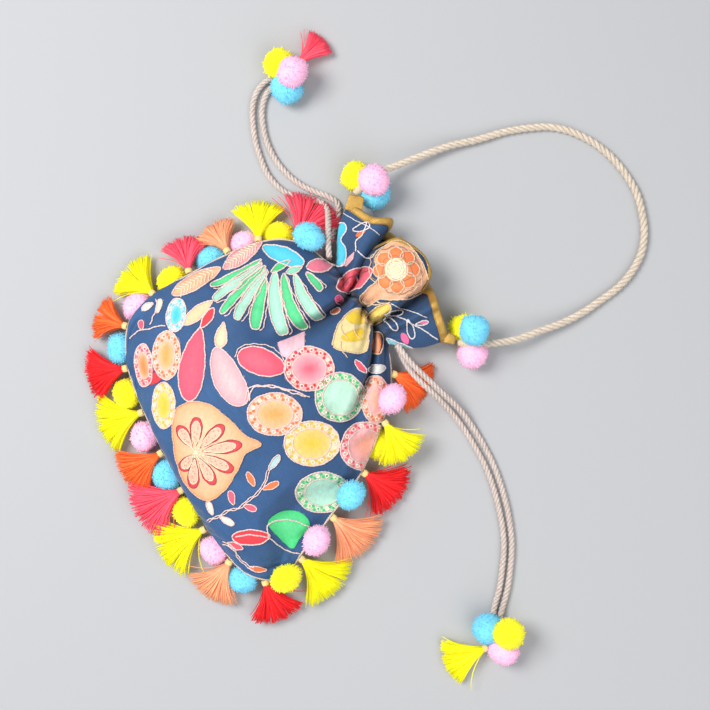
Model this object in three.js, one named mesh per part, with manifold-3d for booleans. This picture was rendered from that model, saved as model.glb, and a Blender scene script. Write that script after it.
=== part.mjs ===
// A potli bag: a small cloth drawstring pouch, lying on its back on a flat surface.
// The pouch is drawn shut at the neck, with the mouth flaring above it like a frill. A lace of
// tassels and pompoms is sewn into the side and bottom seam, a twisted rope handle joins the two
// corners of the mouth, and two drawstrings leave the neck, one on each side.
//
// Frame, in millimetres: +Y from the bottom seam to the mouth, +X across, +Z up from the surface.
// The origin is the middle of the flat patch that the pouch rests on.

import * as THREE from "three";
import { mergeVertices } from "three/addons/utils/BufferGeometryUtils.js";
import Module from "manifold-3d";

const wasm = await Module();
wasm.setup();

// ---- Driving dimensions -------------------------------------------------------------------

const SOFT_GAP = 0.3; // left between soft pieces that touch
const DRAWSTRING_R = 2.3;
const HANDLE_R = 2.9;
const TRIM_POM_R = 9.2;
const CLUSTER_POM_R = 10.2;
const BINDING_R = 1.6; // the rolled satin edge of the mouth
const FRILL_WALL = 2.4; // gathered cloth with its facing

// Rows of the pouch, from the bottom seam to the mouth. Each holds the seam's left and right
// points, the height of the seam, the top and the underside in the middle of the row, and how
// far the middle of the row bows towards the mouth. lip is the extra bow of the back panel.
const ROWS = [
  { left: [-49, -69], right: [70, -85], seam: 15, top: 15, under: 15, bow: -3 },
  { left: [-71, -62], right: [87, -84], seam: 16, top: 27, under: 4, bow: -2 },
  { left: [-88, -52], right: [100, -80], seam: 17, top: 34, under: 0, bow: -1 },
  { left: [-100, -39], right: [111, -70], seam: 18, top: 39, under: 0, bow: 0 },
  { left: [-104, -19], right: [114, -56], seam: 18, top: 43, under: 0, bow: 0 },
  { left: [-103, 1], right: [109, -40], seam: 19, top: 46, under: 0, bow: 0 },
  { left: [-100, 21], right: [104, -21], seam: 20, top: 48, under: 0, bow: 0 },
  { left: [-97, 41], right: [98, -1], seam: 20, top: 49, under: 0, bow: 0 },
  { left: [-92, 62], right: [92, 20], seam: 20, top: 48, under: 0, bow: 0 },
  { left: [-84, 80], right: [82, 41], seam: 20, top: 46, under: 0, bow: 0 },
  { left: [-74, 91], right: [69, 62], seam: 19, top: 43, under: 0, bow: 0 },
  { left: [-63, 97], right: [55, 80], seam: 18, top: 39, under: 1, bow: 0 },
  { left: [-51, 100], right: [40, 92], seam: 17, top: 35, under: 1.5, bow: 0 },
  { left: [-43, 104], right: [27, 100], seam: 17, top: 33, under: 2, bow: 0 },
  { left: [-48, 109], right: [31, 105], seam: 17, top: 34, under: 1.5, bow: 2 },
  { left: [-57, 116], right: [38, 112], seam: 17, top: 37, under: 1, bow: 6, lip: 1 },
  { left: [-66, 125], right: [44, 121], seam: 18, top: 40, under: 0.5, bow: 9, lip: 4 },
  { left: [-73, 138], right: [49, 136], seam: 19, top: 42, under: 0.5, bow: 12, lip: 9 },
];
const NECK_ROW = 13;
const MOUTH_ROW = ROWS.length - 1;
const RING_HALF = 12; // steps across the front of a ring, and across its back
const CROWN = 0.8; // how the front rises from the seams: lower is boxier
const BELLY = 1.6; // how soon the underside meets the surface: higher is flatter

// The drawstrings run through the channel at the neck as two hairpins, one from each side.
const CHANNEL = { z: 17, halfGap: 9, leftY: 99, rightY: 105 };

// ---- Colours ------------------------------------------------------------------------------

const COLOURS = {
  print_cloth: 0x24476f,
  gold_satin: 0xa8873a,
  cream_rope: 0xe2d3c4,
  blush_cord: 0xdcc6bc,
  yellow_yarn: 0xf6ea12,
  pink_yarn: 0xf7a8cf,
  blue_yarn: 0x58b8e6,
  coral_yarn: 0xf0566f,
  red_yarn: 0xdf2a33,
  orange_yarn: 0xf3743a,
  peach_yarn: 0xf2a184,
};

function clothMaterial(slot) {
  return new THREE.MeshStandardMaterial({ color: COLOURS[slot], roughness: 0.85, metalness: 0 });
}

// ---- Geometry helpers ---------------------------------------------------------------------

// A closed surface through rings of points, each ring with the same number of points. Each end
// is closed with a fan round the middle of its ring.
function loftThrough(rings) {
  const count = rings[0].length;
  const positions = rings.flat().flatMap((p) => [p.x, p.y, p.z]);
  const faces = [];
  for (let i = 0; i < rings.length - 1; i++) {
    for (let k = 0; k < count; k++) {
      const next = (k + 1) % count;
      const [a, b, c, d] = [i * count + k, i * count + next, (i + 1) * count + k, (i + 1) * count + next];
      faces.push(a, b, d, a, d, c);
    }
  }
  for (const [ring, turn] of [[0, true], [rings.length - 1, false]]) {
    const middle = new THREE.Vector3();
    rings[ring].forEach((p) => middle.addScaledVector(p, 1 / count));
    const hub = positions.length / 3;
    positions.push(middle.x, middle.y, middle.z);
    for (let k = 0; k < count; k++) {
      const [a, b] = [ring * count + k, ring * count + ((k + 1) % count)];
      faces.push(hub, turn ? b : a, turn ? a : b);
    }
  }
  const geometry = new THREE.BufferGeometry();
  geometry.setAttribute("position", new THREE.Float32BufferAttribute(positions, 3));
  geometry.setIndex(faces);
  return geometry;
}

function asSolid(geometry) {
  const bare = geometry.clone();
  bare.deleteAttribute("normal");
  bare.deleteAttribute("uv");
  const merged = mergeVertices(bare, 1e-4);
  const mesh = new wasm.Mesh({
    numProp: 3,
    vertProperties: merged.attributes.position.array,
    triVerts: new Uint32Array(merged.index.array),
  });
  const solid = new wasm.Manifold(mesh);
  if (solid.volume() >= 0) return solid;
  const flipped = new Uint32Array(merged.index.array);
  for (let i = 0; i < flipped.length; i += 3) [flipped[i], flipped[i + 1]] = [flipped[i + 1], flipped[i]];
  return new wasm.Manifold(
    new wasm.Mesh({ numProp: 3, vertProperties: merged.attributes.position.array, triVerts: flipped }),
  );
}

function asGeometry(solid) {
  const mesh = solid.getMesh();
  const positions = [];
  for (let i = 0; i < mesh.numVert; i++) {
    positions.push(...mesh.vertProperties.subarray(i * mesh.numProp, i * mesh.numProp + 3));
  }
  const geometry = new THREE.BufferGeometry();
  geometry.setAttribute("position", new THREE.Float32BufferAttribute(positions, 3));
  geometry.setIndex(Array.from(mesh.triVerts));
  return geometry;
}

function roundSection(radius, sides) {
  const shape = new THREE.Shape();
  for (let i = 0; i <= sides; i++) {
    const turn = (i / sides) * Math.PI * 2;
    const [x, y] = [radius * Math.cos(turn), radius * Math.sin(turn)];
    if (i === 0) shape.moveTo(x, y);
    else shape.lineTo(x, y);
  }
  return shape;
}

// A tube of the given radius along a smooth curve through the points.
function tubeAlong(points, radius, steps, sides = 8, closed = false) {
  const curve = new THREE.CatmullRomCurve3(points, closed, "centripetal");
  const options = { steps, extrudePath: curve, bevelEnabled: false };
  return new THREE.ExtrudeGeometry(roundSection(radius, sides), options);
}

function points3(list) {
  return list.map(([x, y, z]) => new THREE.Vector3(x, y, z));
}

// ---- The pouch ----------------------------------------------------------------------------

// The ring of points round one row. inset shrinks it on every side, for the inside of the frill.
function ringOf(row, inset = 0) {
  const left = new THREE.Vector2(...row.left);
  const right = new THREE.Vector2(...row.right);
  const across = right.clone().sub(left);
  const share = 1 - (2 * inset) / across.length();
  const normal = new THREE.Vector2(-across.y, across.x).normalize();
  const ring = [];
  const place = (along, bow, z) => {
    const at = left.clone().addScaledVector(across, (1 + along * share) / 2);
    at.addScaledVector(normal, bow * (1 - along * along));
    ring.push(new THREE.Vector3(at.x, at.y, z));
  };
  for (let i = 0; i <= RING_HALF; i++) {
    const along = Math.cos(Math.PI * (1 - i / RING_HALF)); // closer together near the seams
    const crown = Math.pow(Math.max(0, 1 - along * along), CROWN);
    place(along, row.bow, row.seam + Math.max(0, row.top - inset - row.seam) * crown);
  }
  for (let i = RING_HALF - 1; i > 0; i--) {
    const along = Math.cos(Math.PI * (1 - i / RING_HALF));
    const drop = (row.seam - row.under - inset) * BELLY * (1 - along * along);
    place(along, row.bow + (row.lip ?? 0), Math.max(row.under + inset, row.seam - drop));
  }
  return ring;
}

// The hollow of the mouth: the frill's rows again, one cloth thickness in, closing at the neck.
function mouthHollow() {
  const neck = ROWS[NECK_ROW];
  const deepest = { left: [-26, 110], right: [12, 108], seam: 17, top: 20.5, under: 13, bow: 2 };
  const beyond = { ...ROWS[MOUTH_ROW], left: [-76, 150], right: [52, 148] };
  const rows = [ROWS[MOUTH_ROW - 2], ROWS[MOUTH_ROW - 1], ROWS[MOUTH_ROW], beyond];
  const slack = { ...neck, ...deepest };
  return loftThrough([ringOf(slack), ...rows.map((row) => ringOf(row, FRILL_WALL))]);
}

// The part of a drawstring inside the channel: across the front of the neck, round the far end
// and back across the back. side is -1 where both ends come out on the left, and 1 on the right.
function channelPoints(side) {
  const y = side < 0 ? CHANNEL.leftY : CHANNEL.rightY;
  const middle = -8;
  const mouth = middle + side * 30;
  const far = middle - side * 14;
  const { z, halfGap } = CHANNEL;
  const round = [];
  for (const turn of [-60, -30, 0, 30, 60]) {
    const angle = (turn * Math.PI) / 180;
    round.push([far - side * halfGap * Math.cos(angle), y, z - halfGap * Math.sin(angle)]);
  }
  return [[mouth, y, z + halfGap], [middle, y, z + halfGap], [far, y, z + halfGap], ...round,
    [far, y, z - halfGap], [middle, y, z - halfGap], [mouth, y, z - halfGap]];
}

// Each drawstring is one cord: from its end tassel along one free strand, through the channel
// and back along the other. These are the free strands, listed from the neck outwards.
const STRANDS = {
  left: {
    front: [[-50, 104, 25], [-58, 109, 25], [-66, 115, 21], [-73, 120, 14], [-80, 124, 7], [-87, 124, 3],
      [-94, 119, 2.5], [-102, 112, 2.5], [-110, 107, 2.5], [-119, 105, 2.5], [-129, 105, 2.5],
      [-141, 108, 2.5], [-152, 112, 2.5], [-163, 118, 2.5], [-173, 125, 2.5], [-180, 133, 2.5],
      [-183, 142, 2.5]],
    back: [[-50, 103, 8], [-57, 109, 4], [-64, 118, 2.5], [-71, 127, 2.5], [-79, 133, 2.5],
      [-87, 131, 2.5], [-95, 126, 2.5], [-104, 121, 2.5], [-114, 117.5, 2.5], [-124, 116, 2.5],
      [-134, 116, 2.5], [-148, 119, 2.5], [-159, 124, 2.5], [-168, 130, 2.5], [-174, 137, 2.5],
      [-177, 145, 2.5]],
  },
  right: {
    front: [[30, 105, 26], [41, 105, 27], [52, 106, 26], [63, 108, 23], [74, 110, 19], [87, 112.5, 13],
      [99, 114, 8], [112, 114, 4], [128, 112.5, 2.5], [142, 110, 2.5], [156, 106, 2.5], [173, 99.5, 2.5],
      [187, 92.5, 2.5], [199, 85, 2.5], [212, 74, 2.5], [223, 63, 2.5], [231, 53, 2.5]],
    back: [[28, 105, 8], [36, 104, 9], [44, 102.5, 14], [53, 102, 18], [62, 103, 19.5], [73, 105, 17],
      [86, 107, 10], [98, 108, 5], [111, 108, 2.5], [126, 106.5, 2.5], [140, 104.3, 2.5], [154, 100.5, 2.5],
      [170.5, 94, 2.5], [184, 87.5, 2.5], [196, 80, 2.5], [208, 69.5, 2.5], [219, 58.5, 2.5],
      [226.5, 49, 2.5]],
  },
};

function drawstringPoints(side) {
  const strands = side < 0 ? STRANDS.left : STRANDS.right;
  return points3([...[...strands.front].reverse(), ...channelPoints(side), ...strands.back]);
}

function drawstringTube(side, extra = 0) {
  return tubeAlong(drawstringPoints(side), DRAWSTRING_R + extra, 78);
}

function pouchBody() {
  const pouch = asSolid(loftThrough(ROWS.map((row) => ringOf(row))));
  const tunnels = [-1, 1].map((side) => asSolid(drawstringTube(side, SOFT_GAP)));
  return asGeometry(pouch.subtract(asSolid(mouthHollow())).subtract(tunnels[0]).subtract(tunnels[1]));
}

// The rolled edge of the mouth, just beyond the last row of cloth.
function mouthBinding() {
  const edge = ROWS[MOUTH_ROW];
  const outer = ringOf(edge);
  const inner = ringOf(edge, FRILL_WALL);
  const middle = outer.map((p, i) => p.clone().add(inner[i]).multiplyScalar(0.5));
  middle.forEach((p) => (p.y += BINDING_R + 2 * SOFT_GAP));
  middle.forEach((p) => (p.z = Math.max(p.z, BINDING_R + SOFT_GAP)));
  middle.pop(); // open beside the right-hand tab, where its two ends meet
  return tubeAlong(middle, BINDING_R, 64, 6);
}

// ---- The seam and what is sewn into it ------------------------------------------------------

const BOTTOM_POINTS = [[-7, -77.5], [21, -81.5], [49, -85.5]];
const seamPoints = [
  ...ROWS.slice(0, NECK_ROW).reverse().map((row) => [...row.left, row.seam]),
  ...BOTTOM_POINTS.map(([x, y]) => [x, y, ROWS[0].seam]),
  ...ROWS.slice(0, NECK_ROW).map((row) => [...row.right, row.seam]),
];
const seam = new THREE.CatmullRomCurve3(points3(seamPoints), false, "centripetal");
const seamLength = seam.getLength();

// A point on the seam, and the level direction out of the pouch there.
function seamAt(millimetres) {
  const share = THREE.MathUtils.clamp(millimetres / seamLength, 0, 1);
  const tangent = seam.getTangentAt(share);
  const out = new THREE.Vector3(tangent.y, -tangent.x, 0).normalize();
  return { point: seam.getPointAt(share), out };
}

// A tassel along +X from its knot: a bound head, then a skirt of threads that opens like a fan.
function tasselGeometry(length, halfWidth, halfThickness) {
  const outline = [[0, 1.6, 1.6], [1.2, 2.4, 2.5], [4.2, 2.4, 2.5], [5, 2.7, 2.5],
    [length * 0.5, halfWidth * 0.62, halfThickness * 0.8], [length * 0.85, halfWidth * 0.97, halfThickness],
    [length, halfWidth * 0.92, halfThickness * 0.75]];
  const sides = 10;
  const rings = outline.map(([x, wide, thick]) => {
    const ring = [];
    for (let k = 0; k < sides; k++) {
      const turn = (k / sides) * Math.PI * 2;
      ring.push(new THREE.Vector3(x, wide * Math.cos(turn), thick * Math.sin(turn)));
    }
    return ring;
  });
  return loftThrough(rings);
}

// The tassels in the seam, from the left of the neck round the bottom to the right of the neck:
// where the knot sits along the seam, how many degrees the tassel leans from straight out
// (positive towards the end of the seam), its length, its colour, how steeply it droops, and for one that lies over a pompom how far above the seam it is.
const TASSELS = [
  { at: 24, lean: -4, length: 24, yarn: "coral", droop: 24 },
  { at: 51, lean: -8, length: 27, yarn: "yellow", droop: 24 },
  { at: 75, lean: 8, length: 24, yarn: "peach", droop: 26 },
  { at: 106, lean: -9, length: 24, yarn: "coral", droop: 24 },
  { at: 136, lean: 20, length: 27, yarn: "yellow", droop: 24 },
  { at: 168, lean: -12, length: 24, yarn: "orange", droop: 26 },
  { at: 198, lean: -5, length: 28, yarn: "red", droop: 20 },
  { at: 231, lean: -6, length: 31, yarn: "yellow", droop: 14 },
  { at: 264, lean: 2, length: 29, yarn: "orange", droop: 10 },
  { at: 295, lean: -3, length: 33, yarn: "coral", droop: 8 },
  { at: 327, lean: -8, length: 33, yarn: "yellow", droop: 9 },
  { at: 357, lean: 12, length: 28, yarn: "peach", droop: 14 },
  { at: 385, lean: 26, length: 29, yarn: "red", droop: 18 },
  { at: 417, lean: -14, length: 33, yarn: "yellow", droop: 18 },
  { at: 455, lean: -11, length: 33, yarn: "peach", droop: 20 },
  { at: 494, lean: -10, length: 31, yarn: "red", droop: 22 },
  { at: 534, lean: -40, length: 27, yarn: "yellow", droop: 4, up: 4.5 },
  { at: 568, lean: -24, length: 28, yarn: "orange", droop: 30 },
];
const TASSEL = { halfWidth: 13, halfThickness: 3.2, standOff: 0.8 };

function tasselMesh(tassel, number) {
  const { point, out } = seamAt(tassel.at);
  const mesh = new THREE.Mesh(
    tasselGeometry(tassel.length, TASSEL.halfWidth, TASSEL.halfThickness),
    clothMaterial(`${tassel.yarn}_yarn`),
  );
  mesh.name = `tassel_${String(number).padStart(2, "0")}_${tassel.yarn}`;
  mesh.position.copy(point).addScaledVector(out, TASSEL.standOff);
  mesh.position.z = point.z + (tassel.up ?? 0);
  const heading = Math.atan2(out.y, out.x) + THREE.MathUtils.degToRad(tassel.lean);
  mesh.rotation.set(0, THREE.MathUtils.degToRad(tassel.droop), heading, "ZYX");
  return mesh;
}

// The pompoms between the tassels: along the seam, out from it, and how high they sit. Those on
// the left are tucked under the edge of the pouch, and those on the right lie on top of it.
const POMS = [
  { at: 17, yarn: "blue", out: 6.5, height: 27 },
  { at: 38, yarn: "yellow", out: 4.5, height: 9.3 },
  { at: 63, yarn: "pink", out: 3.5, height: 9.3 },
  { at: 89, yarn: "blue", out: 3.5, height: 9.3 },
  { at: 121, yarn: "yellow", out: 3.5, height: 9.3 },
  { at: 152, yarn: "pink", out: 4, height: 9.3 },
  { at: 183, yarn: "blue", out: 5.4, height: 9.3 },
  { at: 214, yarn: "yellow", out: 8.2, height: 9.3 },
  { at: 247, yarn: "pink", out: 8.6, height: 9.3 },
  { at: 279, yarn: "blue", out: 7.4, height: 9.3 },
  { at: 310, yarn: "yellow", out: 7.4, height: 9.3 },
  { at: 343, yarn: "pink", out: 7, height: 9.3 },
  { at: 371, yarn: "blue", out: 7, height: 9.3 },
  { at: 401, yarn: "yellow", out: 2, height: 29 },
  { at: 436, yarn: "pink", out: 2, height: 31 },
  { at: 477, yarn: "blue", out: 2, height: 31 },
  { at: 516, yarn: "yellow", out: 4, height: 9.3 },
  { at: 551, yarn: "pink", out: 2, height: 30 },
];

function pomMesh(name, yarn, radius, x, y, z) {
  const mesh = new THREE.Mesh(new THREE.IcosahedronGeometry(radius, 1), clothMaterial(`${yarn}_yarn`));
  mesh.name = name;
  mesh.position.set(x, y, z);
  return mesh;
}

function seamPomMesh(pom, number) {
  const { point, out } = seamAt(pom.at);
  const at = point.addScaledVector(out, pom.out);
  const name = `pompom_${String(number).padStart(2, "0")}_${pom.yarn}`;
  return pomMesh(name, pom.yarn, TRIM_POM_R, at.x, at.y, pom.height);
}

// ---- Handle, tabs and end clusters ----------------------------------------------------------

const HANDLE_POINTS = [
  [-77.5, 154.5, 17.5], [-77.5, 163, 17], [-77, 174, 15], [-74, 186, 12.5], [-70, 202, 9.5], [-64, 223, 6.5],
  [-55, 244, 4.2], [-48, 263, 3.1], [-39, 280, 3], [-30, 293, 3], [-18, 303, 3], [-2, 311, 3],
  [14, 315, 3], [30, 316, 3], [47, 314, 3], [62, 308, 3], [75, 300, 3], [85, 289, 3],
  [91, 276, 3], [94, 262, 3], [94, 245, 3.2], [93, 228, 4.5], [90, 212, 6.5], [85, 196, 9],
  [79, 177, 14], [71, 162, 19], [65, 154, 20], [60.5, 148, 20],
];

// A satin tab folded over the seam at a corner of the mouth, where the handle is sewn on.
function tabMesh(name, x, y, z, heading) {
  const outline = new THREE.Shape();
  const [half, thick, corner] = [4, 1.2, 1];
  outline.moveTo(-half + corner, -thick);
  outline.lineTo(half - corner, -thick);
  outline.quadraticCurveTo(half, -thick, half, 0);
  outline.quadraticCurveTo(half, thick, half - corner, thick);
  outline.lineTo(-half + corner, thick);
  outline.quadraticCurveTo(-half, thick, -half, 0);
  outline.quadraticCurveTo(-half, -thick, -half + corner, -thick);
  const geometry = new THREE.ExtrudeGeometry(outline, { depth: 6, bevelEnabled: false, curveSegments: 3 });
  geometry.rotateX(-Math.PI / 2);
  const mesh = new THREE.Mesh(geometry, clothMaterial("gold_satin"));
  mesh.name = name;
  mesh.position.set(x, y, z);
  mesh.rotation.z = heading;
  return mesh;
}

// Three pompoms, and a tassel if it has one, gathered at the end of a cord.
const CLUSTERS = [
  { name: "handle_left", poms: { yellow: [-89, 154, 10.4], pink: [-74, 164, 31], blue: [-65, 158, 10.3] } },
  { name: "handle_right", poms: { yellow: [48, 152, 10.3], blue: [54, 157, 31], pink: [71, 144, 10.3] } },
  {
    name: "drawstring_left",
    poms: { yellow: [-188, 160, 10.3], pink: [-172, 164.5, 24], blue: [-166, 152, 10.3] },
    tassel: { yarn: "coral", knot: [-179, 176, 9], length: 25, heading: 97, droop: 8 },
  },
  {
    name: "drawstring_right",
    poms: { blue: [233, 33, 10.3], yellow: [245, 47, 25], pink: [258, 33, 10.3] },
    tassel: { yarn: "yellow", knot: [246, 20, 8], length: 31, heading: 258, droop: 6 },
  },
];

function clusterMeshes(cluster) {
  const meshes = Object.entries(cluster.poms).map(([yarn, [x, y, z]]) =>
    pomMesh(`${cluster.name}_pompom_${yarn}`, yarn, CLUSTER_POM_R, x, y, z),
  );
  if (!cluster.tassel) return meshes;
  const { yarn, knot, length, heading, droop } = cluster.tassel;
  const tassel = new THREE.Mesh(tasselGeometry(length, TASSEL.halfWidth, TASSEL.halfThickness), clothMaterial(`${yarn}_yarn`));
  tassel.name = `${cluster.name}_tassel`;
  tassel.position.set(...knot);
  tassel.rotation.set(0, THREE.MathUtils.degToRad(droop), THREE.MathUtils.degToRad(heading), "ZYX");
  return [...meshes, tassel];
}

// ---- The whole bag --------------------------------------------------------------------------

function named(geometry, name, slot) {
  const mesh = new THREE.Mesh(geometry, clothMaterial(slot));
  mesh.name = name;
  return mesh;
}

const bag = new THREE.Group();
bag.add(named(pouchBody(), "pouch_body", "print_cloth"));
bag.add(named(mouthBinding(), "mouth_binding", "gold_satin"));
bag.add(named(tubeAlong(points3(HANDLE_POINTS), HANDLE_R, 34), "rope_handle", "cream_rope"));
bag.add(named(drawstringTube(-1), "drawstring_left", "blush_cord"));
bag.add(named(drawstringTube(1), "drawstring_right", "blush_cord"));
bag.add(tabMesh("handle_tab_left", -76, 143.5, 17, 0.7));
bag.add(tabMesh("handle_tab_right", 53, 139, 17, -0.9));

const seamTrim = new THREE.Group();
TASSELS.forEach((tassel, i) => seamTrim.add(tasselMesh(tassel, i + 1)));
POMS.forEach((pom, i) => seamTrim.add(seamPomMesh(pom, i + 1)));
bag.add(seamTrim);

const clusters = new THREE.Group();
CLUSTERS.forEach((cluster) => clusters.add(...clusterMeshes(cluster)));
bag.add(clusters);

export default bag;
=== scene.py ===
import math

import bmesh
import bpy
import numpy as np
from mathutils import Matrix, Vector
from mathutils.bvhtree import BVHTree
from mathutils.geometry import delaunay_2d_cdt
from mathutils.kdtree import KDTree


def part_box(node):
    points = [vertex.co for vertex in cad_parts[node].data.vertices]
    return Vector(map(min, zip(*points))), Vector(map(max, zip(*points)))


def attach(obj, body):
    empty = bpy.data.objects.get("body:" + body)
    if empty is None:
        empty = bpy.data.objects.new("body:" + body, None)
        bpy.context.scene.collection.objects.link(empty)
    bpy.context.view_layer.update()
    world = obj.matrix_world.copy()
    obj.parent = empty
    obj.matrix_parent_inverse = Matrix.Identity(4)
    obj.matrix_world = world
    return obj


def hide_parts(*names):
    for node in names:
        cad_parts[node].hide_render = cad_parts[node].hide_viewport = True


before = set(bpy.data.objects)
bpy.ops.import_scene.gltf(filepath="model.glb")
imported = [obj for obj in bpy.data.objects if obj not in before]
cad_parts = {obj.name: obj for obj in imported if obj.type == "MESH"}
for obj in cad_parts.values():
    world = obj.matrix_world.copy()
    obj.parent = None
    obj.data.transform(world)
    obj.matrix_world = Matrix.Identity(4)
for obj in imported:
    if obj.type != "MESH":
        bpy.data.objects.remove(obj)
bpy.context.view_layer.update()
rng = np.random.default_rng(11)

# Lengths in the tables are millimetres in the row frame; MM turns them into metres.
MM = 0.001
FLOOR_GAP = 0.25 * MM  # everything soft stays this far above the floor
POUCH_GAP = 1.6 * MM  # and the cloth this far, which leaves room for the print and stitches under it


def srgb(red, green, blue):
    """A colour given as 0 to 255 screen values, as the linear values that shaders take."""
    share = np.array([red, green, blue]) / 255
    return tuple(np.where(share <= 0.04045, share / 12.92, ((share + 0.055) / 1.055) ** 2.4))


NAVY = srgb(42, 80, 124)
YARN = {
    "yellow": srgb(255, 246, 8),
    "pink": srgb(255, 194, 226),
    "blue": srgb(118, 212, 242),
    "coral": srgb(255, 86, 108),
    "red": srgb(244, 30, 36),
    "orange": srgb(255, 112, 46),
    "peach": srgb(255, 174, 130),
}
PINK = srgb(244, 178, 184)
CORAL = srgb(250, 92, 116)
PEACH = srgb(250, 192, 150)
ORANGE = srgb(248, 122, 66)
MINT = srgb(140, 216, 182)
GREEN = srgb(60, 196, 118)
LEMON = srgb(222, 186, 62)
CREAM = srgb(250, 232, 200)
CYAN = srgb(92, 206, 232)
RED = srgb(226, 52, 66)
THREAD = srgb(236, 206, 200)
DEEP_CORAL = srgb(238, 84, 104)
MAROON = srgb(150, 40, 50)

# ---- Meshes from arrays ---------------------------------------------------------------------


def add_mesh(name, verts, faces, material, colours=None):
    """An object from vertices in metres and a list of face arrays, each with one face size."""
    verts = np.asarray(verts, np.float32)
    faces = [np.asarray(f, np.int32) for f in faces if len(f)]
    mesh = bpy.data.meshes.new(name)
    mesh.vertices.add(len(verts))
    mesh.vertices.foreach_set("co", verts.ravel())
    loops = np.concatenate([f.ravel() for f in faces])
    sizes = np.concatenate([np.full(len(f), f.shape[1]) for f in faces])
    mesh.loops.add(len(loops))
    mesh.loops.foreach_set("vertex_index", loops)
    mesh.polygons.add(len(sizes))
    mesh.polygons.foreach_set("loop_start", np.concatenate([[0], np.cumsum(sizes)[:-1]]))
    mesh.update(calc_edges=True)
    mesh.shade_smooth()
    if colours is not None:
        rgba = np.ones((len(verts), 4), np.float32)
        rgba[:, :3] = np.clip(colours, 0, 1)
        mesh.color_attributes.new("Dye", "FLOAT_COLOR", "POINT").data.foreach_set("color", rgba.ravel())
    mesh.materials.append(material)
    piece = bpy.data.objects.new(name, mesh)
    bpy.context.scene.collection.objects.link(piece)
    return piece


class Heap:
    """Collects many small meshes, to be one object."""

    def __init__(self):
        self.verts, self.quads, self.tris, self.colours, self.count = [], [], [], [], 0

    def add(self, verts, quads, tris, colour):
        self.verts.append(verts)
        self.quads.append(np.asarray(quads, np.int64).reshape(-1, 4) + self.count)
        self.tris.append(np.asarray(tris, np.int64).reshape(-1, 3) + self.count)
        self.colours.append(np.broadcast_to(colour, (len(verts), 3)))
        self.count += len(verts)

    def build(self, name, material):
        verts = np.concatenate(self.verts)
        faces = [np.concatenate(self.quads), np.concatenate(self.tris)]
        return add_mesh(name, verts, faces, material, np.concatenate(self.colours))


def unit(v):
    return v / np.maximum(np.linalg.norm(v, axis=-1, keepdims=True), 1e-12)


def smooth_path(points, step):
    """Evenly spaced points in metres along a smooth curve through points in millimetres."""
    points = np.asarray(points, float)
    ends = np.vstack([2 * points[0] - points[1], points, 2 * points[-1] - points[-2]])
    pieces = []
    for i in range(1, len(ends) - 2):
        p0, p1, p2, p3 = ends[i - 1 : i + 3]
        d1, d2, d3 = (math.sqrt(math.dist(a, b)) or 1e-6 for a, b in ((p0, p1), (p1, p2), (p2, p3)))
        t1 = ((p1 - p0) / d1 - (p2 - p0) / (d1 + d2) + (p2 - p1) / d2) * d2
        t2 = ((p2 - p1) / d2 - (p3 - p1) / (d2 + d3) + (p3 - p2) / d3) * d2
        t = np.linspace(0, 1, 24, endpoint=False)[:, None]
        pieces.append(
            (2 * t**3 - 3 * t**2 + 1) * p1 + (t**3 - 2 * t**2 + t) * t1
            + (3 * t**2 - 2 * t**3) * p2 + (t**3 - t**2) * t2
        )
    dense = np.vstack([*pieces, points[-1:]]) * MM
    run = np.concatenate([[0], np.cumsum(np.linalg.norm(np.diff(dense, axis=0), axis=1))])
    at = np.linspace(0, run[-1], max(3, int(round(run[-1] / step)) + 1))
    return np.stack([np.interp(at, run, dense[:, k]) for k in range(3)], 1)


def path_length(path):
    return float(np.linalg.norm(np.diff(path, axis=0), axis=1).sum())


def carried_frames(path):
    """Tangent and two side directions at each point, carried along without twist."""
    tangent = unit(np.gradient(path, axis=0))
    side = np.cross(tangent[0], (0, 0, 1.0))
    if np.linalg.norm(side) < 0.1:
        side = np.cross(tangent[0], (1.0, 0, 0))
    sides = [unit(side)]
    for t in tangent[1:]:
        s = sides[-1] - t * (sides[-1] @ t)
        sides.append(unit(s))
    sides = np.array(sides)
    return tangent, sides, np.cross(tangent, sides)


def ring_faces(steps, sides, closed=False):
    """Quads between consecutive rings of vertices, and fans of triangles over open ends."""
    k = np.arange(sides)
    nxt = (k + 1) % sides
    last = steps if closed else steps - 1
    i = np.arange(last)[:, None] * sides
    j = ((np.arange(last) + 1) % steps)[:, None] * sides
    quads = np.stack([i + k, i + nxt, j + nxt, j + k], -1).reshape(-1, 4)
    if closed:
        return quads, np.zeros((0, 3), int)
    fan = np.arange(1, sides - 1)
    start = np.stack([np.zeros_like(fan), fan + 1, fan], 1)
    end = np.stack([np.zeros_like(fan), fan, fan + 1], 1) + (steps - 1) * sides
    return quads, np.vstack([start, end])


def tube(path, radius, sides=8, across=None, up=None, closed=False, flatten=1.0):
    """Vertices and faces of a tube. radius may vary by step, or by step and side."""
    if across is None:
        _, across, up = carried_frames(path)
    turn = np.arange(sides) / sides * 2 * math.pi
    radius = np.broadcast_to(np.asarray(radius, float), (len(path),)) if np.ndim(radius) < 2 else radius
    radius = radius[:, None] if radius.ndim == 1 else radius
    ring = across[:, None] * np.cos(turn)[:, None] + up[:, None] * (np.sin(turn) * flatten)[:, None]
    verts = (path[:, None] + ring * np.broadcast_to(radius, (len(path), sides))[..., None]).reshape(-1, 3)
    return verts, *ring_faces(len(path), sides, closed)


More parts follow.
